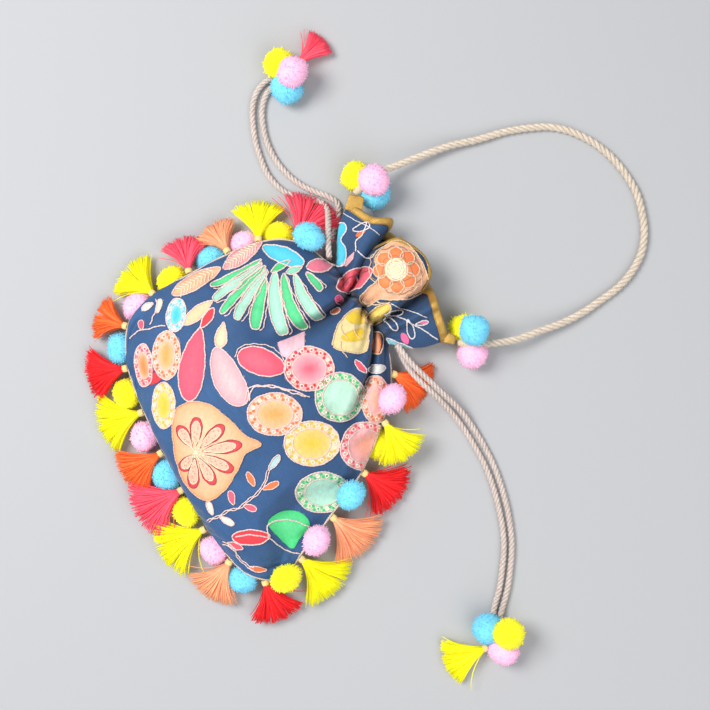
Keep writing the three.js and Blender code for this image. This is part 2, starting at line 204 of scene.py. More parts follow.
def threads(paths, radii, sides=3):
    """Many short tubes at once. paths is (threads, steps, 3), radii (steps,) or (threads, steps)."""
    many, steps, _ = paths.shape
    tangent = unit(np.gradient(paths, axis=1))
    helper = unit(rng.normal(size=(many, 1, 3)))
    side = unit(np.cross(tangent, np.broadcast_to(helper, tangent.shape)))
    other = np.cross(tangent, side)
    turn = np.arange(sides) / sides * 2 * math.pi
    ring = side[:, :, None] * np.cos(turn)[:, None] + other[:, :, None] * np.sin(turn)[:, None]
    size = np.broadcast_to(radii, (many, steps))[..., None, None]
    verts = (paths[:, :, None] + ring * size).reshape(-1, 3)
    quads, tris = ring_faces(steps, sides)
    shift = (np.arange(many) * steps * sides)[:, None, None]
    return verts, (quads + shift).reshape(-1, 4), (tris + shift).reshape(-1, 3)


def keep_above_floor(verts):
    verts[:, 2] = np.maximum(verts[:, 2], FLOOR_GAP)
    return verts


# ---- Materials --------------------------------------------------------------------------------


def new_material(name, **sockets):
    material = bpy.data.materials.new(name)
    material.use_nodes = True
    shader = material.node_tree.nodes["Principled BSDF"]
    for socket, value in sockets.items():
        shader.inputs[socket.replace("_", " ")].default_value = value
    return material, material.node_tree, shader


def node(tree, kind, **settings):
    made = tree.nodes.new(kind)
    for name, value in settings.items():
        if hasattr(made, name):
            setattr(made, name, value)
        else:
            made.inputs[name.replace("_", " ")].default_value = value
    return made


def add_bump(tree, shader, height, distance, strength=1.0):
    bump = node(tree, "ShaderNodeBump", Distance=distance, Strength=strength)
    tree.links.new(height, bump.inputs["Height"])
    tree.links.new(bump.outputs["Normal"], shader.inputs["Normal"])


def multiply_colour(tree, colour, factor_node_output, low, high):
    """colour darkened and lightened between low and high by a 0 to 1 pattern."""
    ramp = node(tree, "ShaderNodeMapRange")
    ramp.inputs["To Min"].default_value = low
    ramp.inputs["To Max"].default_value = high
    tree.links.new(factor_node_output, ramp.inputs["Value"])
    mix = node(tree, "ShaderNodeVectorMath", operation="SCALE")
    tree.links.new(colour, mix.inputs[0])
    tree.links.new(ramp.outputs["Result"], mix.inputs["Scale"])
    return mix.outputs["Vector"]


WEAVE_TURN = 0.18  # the way the threads run, in radians


def woven_material(name, threads_per_m=1500.0, colour=None, slubs=0.12, wash=0.1, **sockets):
    """Plain-weave cloth in one colour, or by the mesh's own Dye: woven bump, slubs and fading."""
    material, tree, shader = new_material(name, **sockets)
    place = node(tree, "ShaderNodeTexCoord")
    heights = []
    for turn in (WEAVE_TURN, WEAVE_TURN + math.pi / 2):
        lay = node(tree, "ShaderNodeMapping")
        lay.inputs["Rotation"].default_value = (0, 0, turn)
        tree.links.new(place.outputs["Object"], lay.inputs["Vector"])
        wave = node(tree, "ShaderNodeTexWave", Scale=threads_per_m / 6.28, Distortion=1.5, Detail=1.0)
        wave.inputs["Detail Scale"].default_value = 1.5
        tree.links.new(lay.outputs["Vector"], wave.inputs["Vector"])
        heights.append(wave.outputs["Fac"])
    weave = node(tree, "ShaderNodeMath", operation="MULTIPLY")
    for socket, height in zip(weave.inputs, heights):
        tree.links.new(height, socket)
    slub_lay = node(tree, "ShaderNodeMapping")
    slub_lay.inputs["Scale"].default_value = (60, 700, 700)
    slub_lay.inputs["Rotation"].default_value = (0, 0, WEAVE_TURN)
    tree.links.new(place.outputs["Object"], slub_lay.inputs["Vector"])
    slub = node(tree, "ShaderNodeTexNoise", Scale=1.0, Detail=3.0)
    tree.links.new(slub_lay.outputs["Vector"], slub.inputs["Vector"])
    fade = node(tree, "ShaderNodeTexNoise", Scale=38.0, Detail=3.0)
    tree.links.new(place.outputs["Object"], fade.inputs["Vector"])
    if colour is None:
        base = node(tree, "ShaderNodeAttribute", attribute_name="Dye").outputs["Color"]
    else:
        base = node(tree, "ShaderNodeRGB").outputs[0]
        base.default_value = (*colour, 1)
    base = multiply_colour(tree, base, slub.outputs["Fac"], 1 - slubs, 1 + slubs)
    base = multiply_colour(tree, base, fade.outputs["Fac"], 1 - wash, 1 + wash)
    base = multiply_colour(tree, base, weave.outputs[0], 0.9, 1.08)
    tree.links.new(base, shader.inputs["Base Color"])
    both = node(tree, "ShaderNodeMath", operation="ADD")
    tree.links.new(weave.outputs[0], both.inputs[0])
    tree.links.new(slub.outputs["Fac"], both.inputs[1])
    add_bump(tree, shader, both.outputs[0], 0.00018, 0.7)
    return material


def yarn_material(name, grain, low, high, bump, **sockets):
    """Yarn dyed by the mesh's own Dye colours, with fine fibre variation. Where the material sets an emission
    strength, the yarn glows in its dye's colours: painted light that lifts its shade.
    """
    material, tree, shader = new_material(name, **sockets)
    place = node(tree, "ShaderNodeTexCoord")
    noise = node(tree, "ShaderNodeTexNoise", Scale=grain, Detail=2.0)
    tree.links.new(place.outputs["Object"], noise.inputs["Vector"])
    dye = node(tree, "ShaderNodeAttribute", attribute_name="Dye")
    colour = multiply_colour(tree, dye.outputs["Color"], noise.outputs["Fac"], low, high)
    tree.links.new(colour, shader.inputs["Base Color"])
    tree.links.new(colour, shader.inputs["Emission Color"])
    add_bump(tree, shader, noise.outputs["Fac"], bump, 0.6)
    return material


cloth_mat = woven_material(
    "navy_print_cloth", slubs=0.2, wash=0.3, Roughness=0.74, Sheen_Weight=0.25, Sheen_Roughness=0.4,
)
motif_mat = woven_material("print_colours", 1700.0, slubs=0.05, wash=0.06, Roughness=0.7, Sheen_Weight=0.15)
satin_mat = woven_material(
    "gold_satin", 2600.0, srgb(186, 146, 68), Roughness=0.38, Metallic=0.45, Sheen_Weight=0.1,
)
stitch_mat = yarn_material("chain_stitch", 2400.0, 0.8, 1.15, 0.00015, Roughness=0.55, Sheen_Weight=0.3)
# The pompom yarn and the tassel thread glow a little in their own colours: painted light that lifts their
# shade.
pom_mat = yarn_material(
    "pompom_yarn", 900.0, 0.88, 1.1, 0.0003, Roughness=0.95, Emission_Strength=0.05, Sheen_Weight=0.15,
    Sheen_Roughness=0.6,
)
tassel_mat = yarn_material("tassel_thread", 1500.0, 0.88, 1.1, 0.0001, Roughness=0.7, Emission_Strength=0.14)
rope_mat = yarn_material("cord_yarn", 2200.0, 0.8, 1.14, 0.0002, Roughness=0.5, Sheen_Weight=0.3)

# ---- Camera, light and floor ------------------------------------------------------------------

# The camera looks straight down. Its right-hand side is the row frame's (0.6, 0.8) direction.
EYE = Vector((17.6, 76.5, 900.0)) * MM
eye = bpy.data.cameras.new("camera")
eye.lens = 61.7
eye.sensor_width = 36.0
eye.clip_start = 0.01
camera = bpy.data.objects.new("camera", eye)
camera.location = EYE
camera.rotation_euler = (0, 0, math.atan2(0.8, 0.6))
bpy.context.scene.collection.objects.link(camera)
bpy.context.scene.camera = camera


def area_light(name, place, size, power, colour=(1, 1, 1)):
    lamp = bpy.data.lights.new(name, "AREA")
    lamp.shape = "SQUARE"
    lamp.size = size
    lamp.energy = power
    lamp.color = colour
    light = bpy.data.objects.new(name, lamp)
    light.location = place
    aim = Vector((0.02, 0.05, 0)) - Vector(place)
    light.rotation_euler = aim.to_track_quat("-Z", "Y").to_euler()
    bpy.context.scene.collection.objects.link(light)


area_light("key_light", (-0.86, -0.4, 1.45), 0.8, 31.0, (1.0, 0.99, 0.97))
area_light("fill_light", (1.05, 0.1, 1.35), 1.5, 15.0, (1.0, 0.99, 0.98))

world = bpy.data.worlds.new("studio")
world.use_nodes = True
world.node_tree.nodes["Background"].inputs["Color"].default_value = (0.9, 0.93, 1.0, 1)
world.node_tree.nodes["Background"].inputs["Strength"].default_value = 0.46
bpy.context.scene.world = world
bpy.context.scene.view_settings.view_transform = "Standard"

floor_mat, floor_tree, floor_shader = new_material("studio_floor", Roughness=0.8)
floor_noise = node(floor_tree, "ShaderNodeTexNoise", Scale=2.0)
floor_base = node(floor_tree, "ShaderNodeRGB")
floor_base.outputs[0].default_value = (*srgb(175, 176, 178), 1)
floor_tree.links.new(
    multiply_colour(floor_tree, floor_base.outputs[0], floor_noise.outputs["Fac"], 0.98, 1.02),
    floor_shader.inputs["Base Color"],
)
FLOOR_REACH = 3.0  # m from the middle of the floor to each side
floor_corners = [(x * FLOOR_REACH, y * FLOOR_REACH, 0) for x, y in ((-1, -1), (1, -1), (1, 1), (-1, 1))]
floor = add_mesh("studio_floor", floor_corners, [[(0, 1, 2, 3)]], floor_mat)

# ---- Cords ------------------------------------------------------------------------------------

HANDLE_ROUTE = [
  [-77.5, 154.5, 17.5], [-77.5, 163, 17], [-77, 174, 15], [-74, 186, 12.5], [-70, 202, 9.5], [-64, 223, 6.5],
  [-55, 244, 4.2], [-48, 263, 3.1], [-39, 280, 3], [-30, 293, 3], [-18, 303, 3], [-2, 311, 3],
  [14, 315, 3], [30, 316, 3], [47, 314, 3], [62, 308, 3], [75, 300, 3], [85, 289, 3],
  [91, 276, 3], [94, 262, 3], [94, 245, 3.2], [93, 228, 4.5], [90, 212, 6.5], [85, 196, 9],
  [79, 177, 14], [71, 162, 19], [65, 154, 20], [60.5, 148, 20],
]
STRAND_ROUTES = {
  "left": {
    "front": [[-50, 104, 25], [-58, 109, 25], [-66, 115, 21], [-73, 120, 14], [-80, 124, 7], [-87, 124, 3],
      [-94, 119, 2.5], [-102, 112, 2.5], [-110, 107, 2.5], [-119, 105, 2.5], [-129, 105, 2.5],
      [-141, 108, 2.5], [-152, 112, 2.5], [-163, 118, 2.5], [-173, 125, 2.5], [-180, 133, 2.5],
      [-183, 142, 2.5], [-182.5, 149, 5], [-180, 155, 9]],
    "back": [[-50, 103, 8], [-57, 109, 4], [-64, 118, 2.5], [-71, 127, 2.5], [-79, 133, 2.5],
      [-87, 131, 2.5], [-95, 126, 2.5], [-104, 121, 2.5], [-114, 117.5, 2.5], [-124, 116, 2.5],
      [-134, 116, 2.5], [-148, 119, 2.5], [-159, 124, 2.5], [-168, 130, 2.5], [-174, 137, 2.5],
      [-177, 145, 2.5], [-177.5, 151, 5], [-175, 156, 9]],
  },
  "right": {
    "front": [[30, 105, 26], [41, 105, 27], [52, 106, 26], [63, 108, 23], [74, 110, 19], [87, 112.5, 13],
      [99, 114, 8], [112, 114, 4], [128, 112.5, 2.5], [142, 110, 2.5], [156, 106, 2.5], [173, 99.5, 2.5],
      [187, 92.5, 2.5], [199, 85, 2.5], [212, 74, 2.5], [223, 63, 2.5], [231, 53, 2.5], [236, 46, 5],
      [240, 41, 9]],
    "back": [[28, 105, 8], [36, 104, 9], [44, 102.5, 14], [53, 102, 18], [62, 103, 19.5], [73, 105, 17],
      [86, 107, 10], [98, 108, 5], [111, 108, 2.5], [126, 106.5, 2.5], [140, 104.3, 2.5],
      [154, 100.5, 2.5], [170.5, 94, 2.5], [184, 87.5, 2.5], [196, 80, 2.5], [208, 69.5, 2.5],
      [219, 58.5, 2.5], [226.5, 49, 2.5], [231.5, 43, 5], [236, 38, 9]],
  },
}
HANDLE_D, DRAWSTRING_D = 5.8 * MM, 4.6 * MM
HANDLE_PITCH, DRAWSTRING_PITCH, CORD_STEP = 15 * MM, 11 * MM, 0.8 * MM
STRAND_SHARE = 0.464 * 1.06  # three touching strands fill a circle at 0.464 of its size; these press in


def twisted_cord(route, diameter, pitch, step, colour, sides=9):
    """A cord of three plied strands along a route. Returns its heap and its centreline."""
    path = smooth_path(route, step)
    _, side, up = carried_frames(path)
    run = np.linspace(0, path_length(path), len(path))
    strand_r = STRAND_SHARE * diameter / 2
    reach = diameter / 2 - strand_r
    heap = Heap()
    for k in range(3):
        turn = run / pitch * 2 * math.pi + k * 2 * math.pi / 3
        out = side * np.cos(turn)[:, None] + up * np.sin(turn)[:, None]
        centre = path + out * reach
        along = unit(np.gradient(centre, axis=0))
        across = unit(out - along * (out * along).sum(1, keepdims=True))
        ply = np.cos(4 * (np.arange(sides) / sides * 2 * math.pi)[None] - (run / pitch * 17)[:, None])
        size = strand_r * (1 + 0.07 * ply + 0.02 * rng.normal(size=(len(path), 1)))
        verts, quads, tris = tube(centre, size, sides, across, np.cross(along, across))
        # Painted light on the crests of the ply's fibres and painted shade in the grooves between them, with
        # random tone.
        shade = (1 + 0.1 * ply + 0.05 * rng.normal(size=(len(path), 1))).reshape(-1, 1)
        heap.add(keep_above_floor(verts), quads, tris, np.array(colour) * shade)
    return heap, path


def fuzz(heap, path, radius, colour, many, length):
    """Loose fibres that stand off a cord."""
    at = rng.integers(2, len(path) - 2, many)
    tangent, side, up = carried_frames(path)
    turn = rng.uniform(0, 2 * math.pi, many)
    out = side[at] * np.cos(turn)[:, None] + up[at] * np.sin(turn)[:, None]
    lean = unit(out * 0.6 + tangent[at] * rng.uniform(-1, 1, (many, 1)))
    t = np.linspace(0, 1, 4)[None, :, None]
    reach = length * rng.uniform(0.4, 1, (many, 1, 1))
    paths = path[at][:, None] + out[:, None] * radius * 0.85 + lean[:, None] * reach * t
    paths += tangent[at][:, None] * reach * 0.5 * t**2
    verts, quads, tris = threads(paths, np.array([0.09, 0.08, 0.07, 0.04]) * MM)
    heap.add(keep_above_floor(verts), quads, tris, colour)


rope_colour = srgb(210, 195, 176)
string_colour = srgb(206, 190, 181)

heap, handle_path = twisted_cord(HANDLE_ROUTE, HANDLE_D, HANDLE_PITCH, CORD_STEP, rope_colour)
fuzz(heap, handle_path, HANDLE_D / 2, rope_colour, 260, 2.2 * MM)
handle = heap.build("handle_cord", rope_mat)

strings = {}
for side_name, strands in STRAND_ROUTES.items():
    for where, route in strands.items():
        heap, path = twisted_cord(route, DRAWSTRING_D, DRAWSTRING_PITCH, CORD_STEP, string_colour)
        fuzz(heap, path, DRAWSTRING_D / 2, string_colour, 90, 1.6 * MM)
        strings[side_name, where] = heap.build(f"drawstring_{side_name}_{where}_cord", rope_mat), path

# ---- Pouch ------------------------------------------------------------------------------------

# Rows from the bottom seam to the mouth: the seam's left and right points, its height, the top
# and the underside in the middle, the bow towards the mouth, and the back panel's extra bow.
ROWS = np.array([
  [-49, -69, 70, -85, 15, 15, 15, -3, 0],
  [-71, -62, 87, -84, 16, 27, 4, -2, 0],
  [-88, -52, 100, -80, 17, 34, 0, -1, 0],
  [-100, -39, 111, -70, 18, 39, 0, 0, 0],
  [-104, -19, 114, -56, 18, 43, 0, 0, 0],
  [-103, 1, 109, -40, 19, 46, 0, 0, 0],
  [-100, 21, 104, -21, 20, 48, 0, 0, 0],
  [-97, 41, 98, -1, 20, 49, 0, 0, 0],
  [-92, 62, 92, 20, 20, 48, 0, 0, 0],
  [-84, 80, 82, 41, 20, 46, 0, 0, 0],
  [-74, 91, 69, 62, 19, 43, 0, 0, 0],
  [-63, 97, 55, 80, 18, 39, 1, 0, 0],
  [-51, 100, 40, 92, 17, 35, 1.5, 0, 0],
  [-43, 104, 27, 100, 17, 33, 2, 0, 0],
  [-48, 109, 31, 105, 17, 34, 1.5, 2, 0],
  [-57, 116, 38, 112, 17, 37, 1, 6, 1],
  [-66, 125, 44, 121, 18, 40, 0.5, 9, 2.5],
  [-73, 138, 49, 136, 19, 42, 0.5, 12, 4],
], float)
NECK, MOUTH = 13.0, 17.0
ROW_STEPS, HALF_STEPS = 86, 90
STRING_DIP, EDGE_ROLL = 12, 15  # mm that the string presses the front in, and that its edge rolls down
# How far the frill stands out past its row, in mm, where across the front, and how wide that is.
LOBES = [(9, 0.06, 0.36), (12, -0.53, 0.1), (-20, -0.4, 0.05), (-8, 0.36, 0.05)]


def bell(x, centre, width):
    return np.exp(-(((x - centre) / width) ** 2))


def ease(x, low, high):
    t = np.clip((x - low) / (high - low), 0, 1)
    return t * t * (3 - 2 * t)


def row_at(t):
    """The row values at a fractional row number, on a smooth curve through the table."""
    i = np.clip(np.floor(t).astype(int), 0, len(ROWS) - 2)
    f = (t - i)[..., None]
    pick = lambda k: ROWS[np.clip(k, 0, len(ROWS) - 1)]
    p0, p1, p2, p3 = pick(i - 1), pick(i), pick(i + 1), pick(i + 2)
    return 0.5 * (2 * p1 + (p2 - p0) * f + (2 * p0 - 5 * p1 + 4 * p2 - p3) * f**2
                  + (3 * p1 - p0 - 3 * p2 + p3) * f**3)


# Each crease of the front: its place across the row (-1 to 1) at a few rows, how deep it cuts
# there, as a share of the pouch's thickness, its width across the row, and which of its sides
# folds over it: the left one at 1, the right one at -1.
CREASES = [
  {"rows": [7.2, 8.2, 9.6, 10.6, 11.5, 12.4, 13, 14.5, 17],
   "across": [-0.26, -0.24, -0.22, -0.24, -0.28, -0.35, -0.4, -0.4, -0.41],
   "depth": [0, 0.32, 0.54, 0.72, 0.82, 0.86, 0.86, 0.84, 0.78],
   "width": [0.09, 0.07, 0.06, 0.06, 0.06, 0.065, 0.08, 0.09, 0.08],
   "over": [1, 1, 1, 1, 1, 0.6, 0, -0.8, -1]},
  {"rows": [8.2, 9.2, 10.4, 11.5, 13, 15, 17], "across": [0.62, 0.6, 0.57, 0.49, 0.45, 0.41, 0.35],
   "depth": [0, 0.46, 0.66, 0.78, 0.86, 0.84, 0.74], "width": [0.09, 0.07, 0.06, 0.06, 0.075, 0.09, 0.1],
   "over": [1, 1, 1, 1, 0.8, 1, 1]},
  {"rows": [10.4, 11.5, 12.4, 13, 13.8, 15], "across": [0.2, 0.14, 0.06, 0.03, 0.02, 0.0],
   "depth": [0, 0.2, 0.42, 0.46, 0.24, 0.0], "width": [0.06, 0.06, 0.07, 0.08, 0.08, 0.1],
   "over": [0.6, 0.6, 0.4, 0.2, 0, 0]},
  {"rows": [10.6, 11.6, 12.5, 13, 14, 15.5, 17], "across": [-0.68, -0.7, -0.72, -0.73, -0.74, -0.76, -0.78],
   "depth": [0, 0.2, 0.4, 0.5, 0.4, 0.2, 0.2], "width": [0.06, 0.06, 0.07, 0.08, 0.09, 0.1, 0.1],
   "over": [0.5, 0.5, 0.5, 0.3, 0, 0, 0]},
  {"rows": [10.8, 11.6, 12.5, 13, 14, 15.5, 17], "across": [0.84, 0.82, 0.78, 0.76, 0.72, 0.68, 0.66],
   "depth": [0, 0.2, 0.34, 0.46, 0.4, 0.3, 0.3], "width": [0.05, 0.06, 0.07, 0.08, 0.08, 0.09, 0.09],
   "over": [0.5, 0.5, 0.5, 0.3, 0.5, 0.6, 0.6]},
  {"rows": [9.4, 10.8, 12, 13], "across": [-0.5, -0.5, -0.52, -0.56],
   "depth": [0, 0.16, 0.3, 0.26], "width": [0.05, 0.05, 0.06, 0.07], "over": [0.5, 0.5, 0.5, 0.5]},
  {"rows": [9.6, 10.8, 12, 13], "across": [0.34, 0.34, 0.28, 0.24],
   "depth": [0, 0.14, 0.26, 0.26], "width": [0.05, 0.05, 0.06, 0.07], "over": [0.5, 0.5, 0.5, 0.5]},
]


def crease_share(t, across, mirrored=False):
    """How much of the pouch's thickness the creases take away at row t."""
    taken = np.zeros(np.broadcast(t, across).shape)
    place = -across if mirrored else across
    for crease in CREASES:
        values = (np.interp(t, crease["rows"], crease[k]) for k in ("across", "depth", "width", "over"))
        centre, depth, width, over = values
        depth = np.where((t < crease["rows"][0]) | (t > crease["rows"][-1] + 0.5), 0, depth)
        width = width * np.where(place > centre, 1 + 0.55 * over, 1 - 0.55 * over)
        taken = np.maximum(taken, depth * bell(place, centre, width))
    return taken


def pleats(t, across, phase):
    """How deep the fine gathers round the neck cut in at row t, in millimetres."""
    depth = 5.5 * (bell(t, 13.0, 1.3) + 0.4 * bell(t, 14.4, 2.0))
    place = 4.6 * across + 0.5 * np.sin(4 * across + phase) + phase
    return depth * (1 - np.abs(np.sin(math.pi * place)) ** 0.6)


RING_SHARE = np.linspace(0, 1, HALF_STEPS + 1)
ACROSS = 0.45 * (2 * RING_SHARE - 1) - 0.55 * np.cos(math.pi * RING_SHARE)


def pouch_ring(t, inner=0.0):
    """Points round the pouch at row t: the front from left to right, then the back."""
    left_x, left_y, right_x, right_y, seam, top, under, bow, lip = row_at(np.array(t))
    across = ACROSS
    span = np.array([right_x - left_x, right_y - left_y])
    width = np.linalg.norm(span)
    normal = np.array([-span[1], span[0]]) / width
    shrink = 1 - 2 * inner / width
    frill = ease(t, NECK, NECK + 2.2)

    def place(a, bow_here, z):
        base = np.array([left_x, left_y]) + span * ((1 + a * shrink) / 2)[:, None]
        base = base + normal * (bow_here * (1 - a * a))[:, None]
        return np.column_stack([base, z])

    lobes = 1 + frill * 0.2 * bell(across, 0.0, 0.28) - frill * 0.1 * bell(across, -0.72, 0.3)
    dome = np.clip(1 - across**2, 0, 1) ** (0.62 if t < 1 else 0.72)
    front = seam + (max(top - inner, seam) - seam) * dome * lobes * (1 - crease_share(t, across))
    front = front - pleats(t, across, 0.4) * dome
    # The string draws the cloth in along a line that wanders about the neck's row.
    wander = 0.3 * bell(across, -0.08, 0.14) - 0.2 * bell(across, 0.3, 0.1)
    drawn = NECK - 1.0 * bell(across, -0.42, 0.16) + wander
    front = front - STRING_DIP * bell(t, drawn, 0.42) * dome
    # The middle lobe of the frill rolls over towards the mouth, so its edge is lower.
    roll = ease(t, 16.0, MOUTH) * bell(across, 0.03, 0.34)
    front = front - roll * EDGE_ROLL
    # It also stands out past the others, and a cleft parts it from the left one.
    lobe_out = sum(far * bell(across, where, width) for far, where, width in LOBES)
    front_bow = bow + ease(t, 13.8, MOUTH) * lobe_out
    back_rise = 1 - crease_share(t, across, mirrored=True) * 0.7
    belly = np.clip(1.6 * (1 - across**2), 0, 1.0)
    back = seam - (seam - under - inner) * belly * back_rise
    back = np.maximum(back + pleats(t, across, 1.7) * belly, under + inner)
    ring_front = place(across, front_bow, front)
    ring_back = place(across[::-1], bow + lip, back[::-1])
    return np.vstack([ring_front, ring_back[1:-1]]) * MM


FACING = 1.5  # mm, the frill's cloth with its lining
LINING_STEPS, LINING_END = 22, 14.2  # the lining is seen from the mouth down to this row
row_numbers = np.concatenate([
    np.linspace(0, MOUTH, ROW_STEPS), np.linspace(MOUTH - 0.04, LINING_END, LINING_STEPS),
])
insets = np.concatenate([np.zeros(ROW_STEPS), np.full(LINING_STEPS, FACING)])
rings = np.array([pouch_ring(t, inset) for t, inset in zip(row_numbers, insets)])
RING = rings.shape[1]
rings[:, :, 2] = np.maximum(rings[:, :, 2], POUCH_GAP)
ring_quads, _ = ring_faces(len(rings), RING)
# The lining ends in a fan of triangles round one point, deep in the mouth.
deepest_point = len(rings) * RING
pouch_verts = np.vstack([rings.reshape(-1, 3), rings[-1].mean(0)])
k, last_ring = np.arange(RING), (len(rings) - 1) * RING
deep_fan = np.stack([k + last_ring, (k + 1) % RING + last_ring, np.full(RING, deepest_point)], 1)
# The cloth is lighter towards the bottom. Painted shade darkens it in the folds of both panels, and along the
# line where the string gathers the neck.
FOLD_SHADE = 0.9
fold_depth = np.array([
    [*crease_share(t, ACROSS), *crease_share(t, ACROSS[-2:0:-1], mirrored=True) / 2] for t in row_numbers
])
# Painted shade along the string's line at the neck, where the gathers crowd.
fold_depth = np.maximum(fold_depth, 0.7 * bell(row_numbers, NECK, 0.4)[:, None])
fade = (1.22 - 0.34 * ease(row_numbers, 2.0, 10.0))[:, None] * (1 - FOLD_SHADE * fold_depth)
pouch = add_mesh("pouch_cloth", pouch_verts, [ring_quads, deep_fan], cloth_mat,
                 np.outer(np.append(fade, 0.8), NAVY))
# The front and back meet in the bottom seam: its two sides hold the same points.
weld = pouch.modifiers.new("weld", "WELD")
weld.merge_threshold = 0.02 * MM


def apply_modifiers(piece):
    """Gives the piece the mesh that its modifiers make, and removes them."""
    graph = bpy.context.evaluated_depsgraph_get()
    mesh = bpy.data.meshes.new_from_object(piece.evaluated_get(graph), depsgraph=graph)
    piece.modifiers.clear()
    piece.data = mesh


def coordinates(mesh):
    co = np.zeros(len(mesh.vertices) * 3, np.float32)
    mesh.vertices.foreach_get("co", co)
    return co.reshape(-1, 3).astype(float)


apply_modifiers(pouch)


def inflate(piece, frames, pressure, limit):
    """Lets the cloth settle under a little pressure, pinned at its seams, neck and frill."""
    start = coordinates(piece.data)
    pins = piece.vertex_groups.new(name="pinned")
    for i, weight in enumerate(firmness(start)):
        if weight > 0:
            pins.add([i], float(weight), "REPLACE")
    cloth = piece.modifiers.new("cloth", "CLOTH")
    settings = cloth.settings
    settings.quality = 6
    settings.mass = 0.15
    settings.tension_stiffness = 12
    settings.compression_stiffness = 12
    settings.shear_stiffness = 4
    settings.bending_stiffness = 0.25
    settings.use_pressure = True
    settings.uniform_pressure_force = pressure
    settings.shrink_min = -0.045
    settings.vertex_group_mass = "pinned"
    settings.effector_weights.gravity = 0
    cloth.collision_settings.use_collision = False
    scene = bpy.context.scene
    cloth.point_cache.frame_start, cloth.point_cache.frame_end = 1, frames
    for f in range(1, frames + 1):
        scene.frame_set(f)
    apply_modifiers(piece)
    scene.frame_set(1)
    moved = coordinates(piece.data) - start
    far = np.linalg.norm(moved, axis=1, keepdims=True)
    moved *= np.minimum(1, limit / np.maximum(far, 1e-9))
    after = start + moved
    after[:, 2] = np.maximum(after[:, 2], POUCH_GAP)
    piece.data.vertices.foreach_set("co", after.astype(np.float32).ravel())
    piece.data.update()
    piece.vertex_groups.clear()


SEAM_REACH = 1.5 * MM  # cloth this near a seam is held by it
HELD_ROWS = (7.6, 10.6)  # the cloth is free below the first row, and held above the second
seam_line = np.array([pouch_ring(t)[[0, HALF_STEPS]] for t in np.linspace(0, MOUTH, 200)])


def firmness(points):
    """How firmly each point is held: 1 at the seams and from the folds up, 0 in the belly."""
    numbers = np.linspace(0, MOUTH, len(seam_line))
    middle = seam_line.mean(1)
    held = np.zeros(len(points))
    for start in range(0, len(points), 4000):
        part = points[start : start + 4000]
        gap = np.linalg.norm(part[:, None, None] - seam_line[None], axis=3).min((1, 2))
        nearest = np.linalg.norm(part[:, None, :2] - middle[None, :, :2], axis=2).argmin(1)
        held[start : start + 4000] = np.maximum(gap < SEAM_REACH, ease(numbers[nearest], *HELD_ROWS))
    bottom = np.linalg.norm(points[:, None] - pouch_ring(0.0)[None, ::4], axis=2).min(1)
    return np.where(bottom < SEAM_REACH, 1.0, held)


inflate(pouch, frames=18, pressure=2.5, limit=7 * MM)

finer = pouch.modifiers.new("finer", "SUBSURF")
finer.levels = finer.render_levels = 1
apply_modifiers(pouch)

pouch_tree = BVHTree.FromPolygons(
    [tuple(v) for v in coordinates(pouch.data)], [tuple(p.vertices) for p in pouch.data.polygons],
)


def on_cloth(x, y, lift, back=False):
    """The point on the front (or back) of the pouch at x, y in millimetres, lifted off it."""
    origin = Vector((x * MM, y * MM, -0.05 if back else 0.2))
    hit, normal, _, _ = pouch_tree.ray_cast(origin, Vector((0, 0, 1 if back else -1)))
    if hit is None:
        return None
    if (normal.z > 0) == back:
        normal = -normal
    return np.array(hit + normal * lift)


def node_box(name):
    low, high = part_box(name)
    return np.array(low), np.array(high)


def declare(piece, slot, *nodes):
    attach(piece, "root")
    if nodes:
        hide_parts(*nodes)


# ---- Print and embroidery ---------------------------------------------------------------------

PRINT_LIFT, OVER_LIFT, STITCH_LIFT = 0.4 * MM, 0.56 * MM, 0.72 * MM
STITCH_R, THIN_STITCH_R, FINE_STITCH_R = 0.52 * MM, 0.4 * MM, 0.42 * MM
STITCH_STEP, STITCH_PERIOD = 0.75, 2.4  # mm along a line of chain stitch
DYE_MARGIN = 0.7  # mm from a field's edge to where its colour shows in the cloth
LONGEST_EDGE = 5 * MM  # a print triangle longer than this bridges a fold, and is left out

cloth_points = coordinates(pouch.data)
cloth_normals = np.array([tuple(v.normal) for v in pouch.data.vertices])
dye_layer = pouch.data.color_attributes["Dye"].data
cloth_dye = np.zeros(len(cloth_points) * 4, np.float32)
dye_layer.foreach_get("color", cloth_dye)
cloth_dye = cloth_dye.reshape(-1, 4)

# fold_light is the painted shade of the folds, read from the cloth's colour, to be laid on the print and the
# stitches as well.
FRILL_TONE, DARKEST = 0.88, 0.3  # the plain cloth's dye at the frill, and the least light in a fold
fold_light = np.clip(cloth_dye[:, 0] / NAVY[0] / FRILL_TONE, DARKEST, 1.0)
cloth_tree = KDTree(len(cloth_points))
for i, spot in enumerate(cloth_points):
    cloth_tree.insert(spot, i)
cloth_tree.balance()


def light_at(points):
    """The painted shade of the folds at each point: 1, or less in a fold."""
    return np.array([fold_light[cloth_tree.find(point)[1]] for point in points])[:, None]


# The back carries the front's shapes mirrored about the pouch's middle line.
MIDDLE, UPWARD, ROW_WAY = np.array([3, -20]), np.array([-0.09, 1]), np.array([0.98, -0.19])


def resample(line, step, closed=False):
    """Points at even steps along a line in the plane."""
    line = np.asarray(line, float)
    if closed:
        line = np.vstack([line, line[:1]])
    run = np.concatenate([[0], np.cumsum(np.linalg.norm(np.diff(line, axis=0), axis=1))])
    many = max(4, int(round(run[-1] / step)))
    at = np.linspace(0, run[-1], many + 1)[: many if closed else None]
    return np.stack([np.interp(at, run, line[:, k]) for k in range(2)], 1)


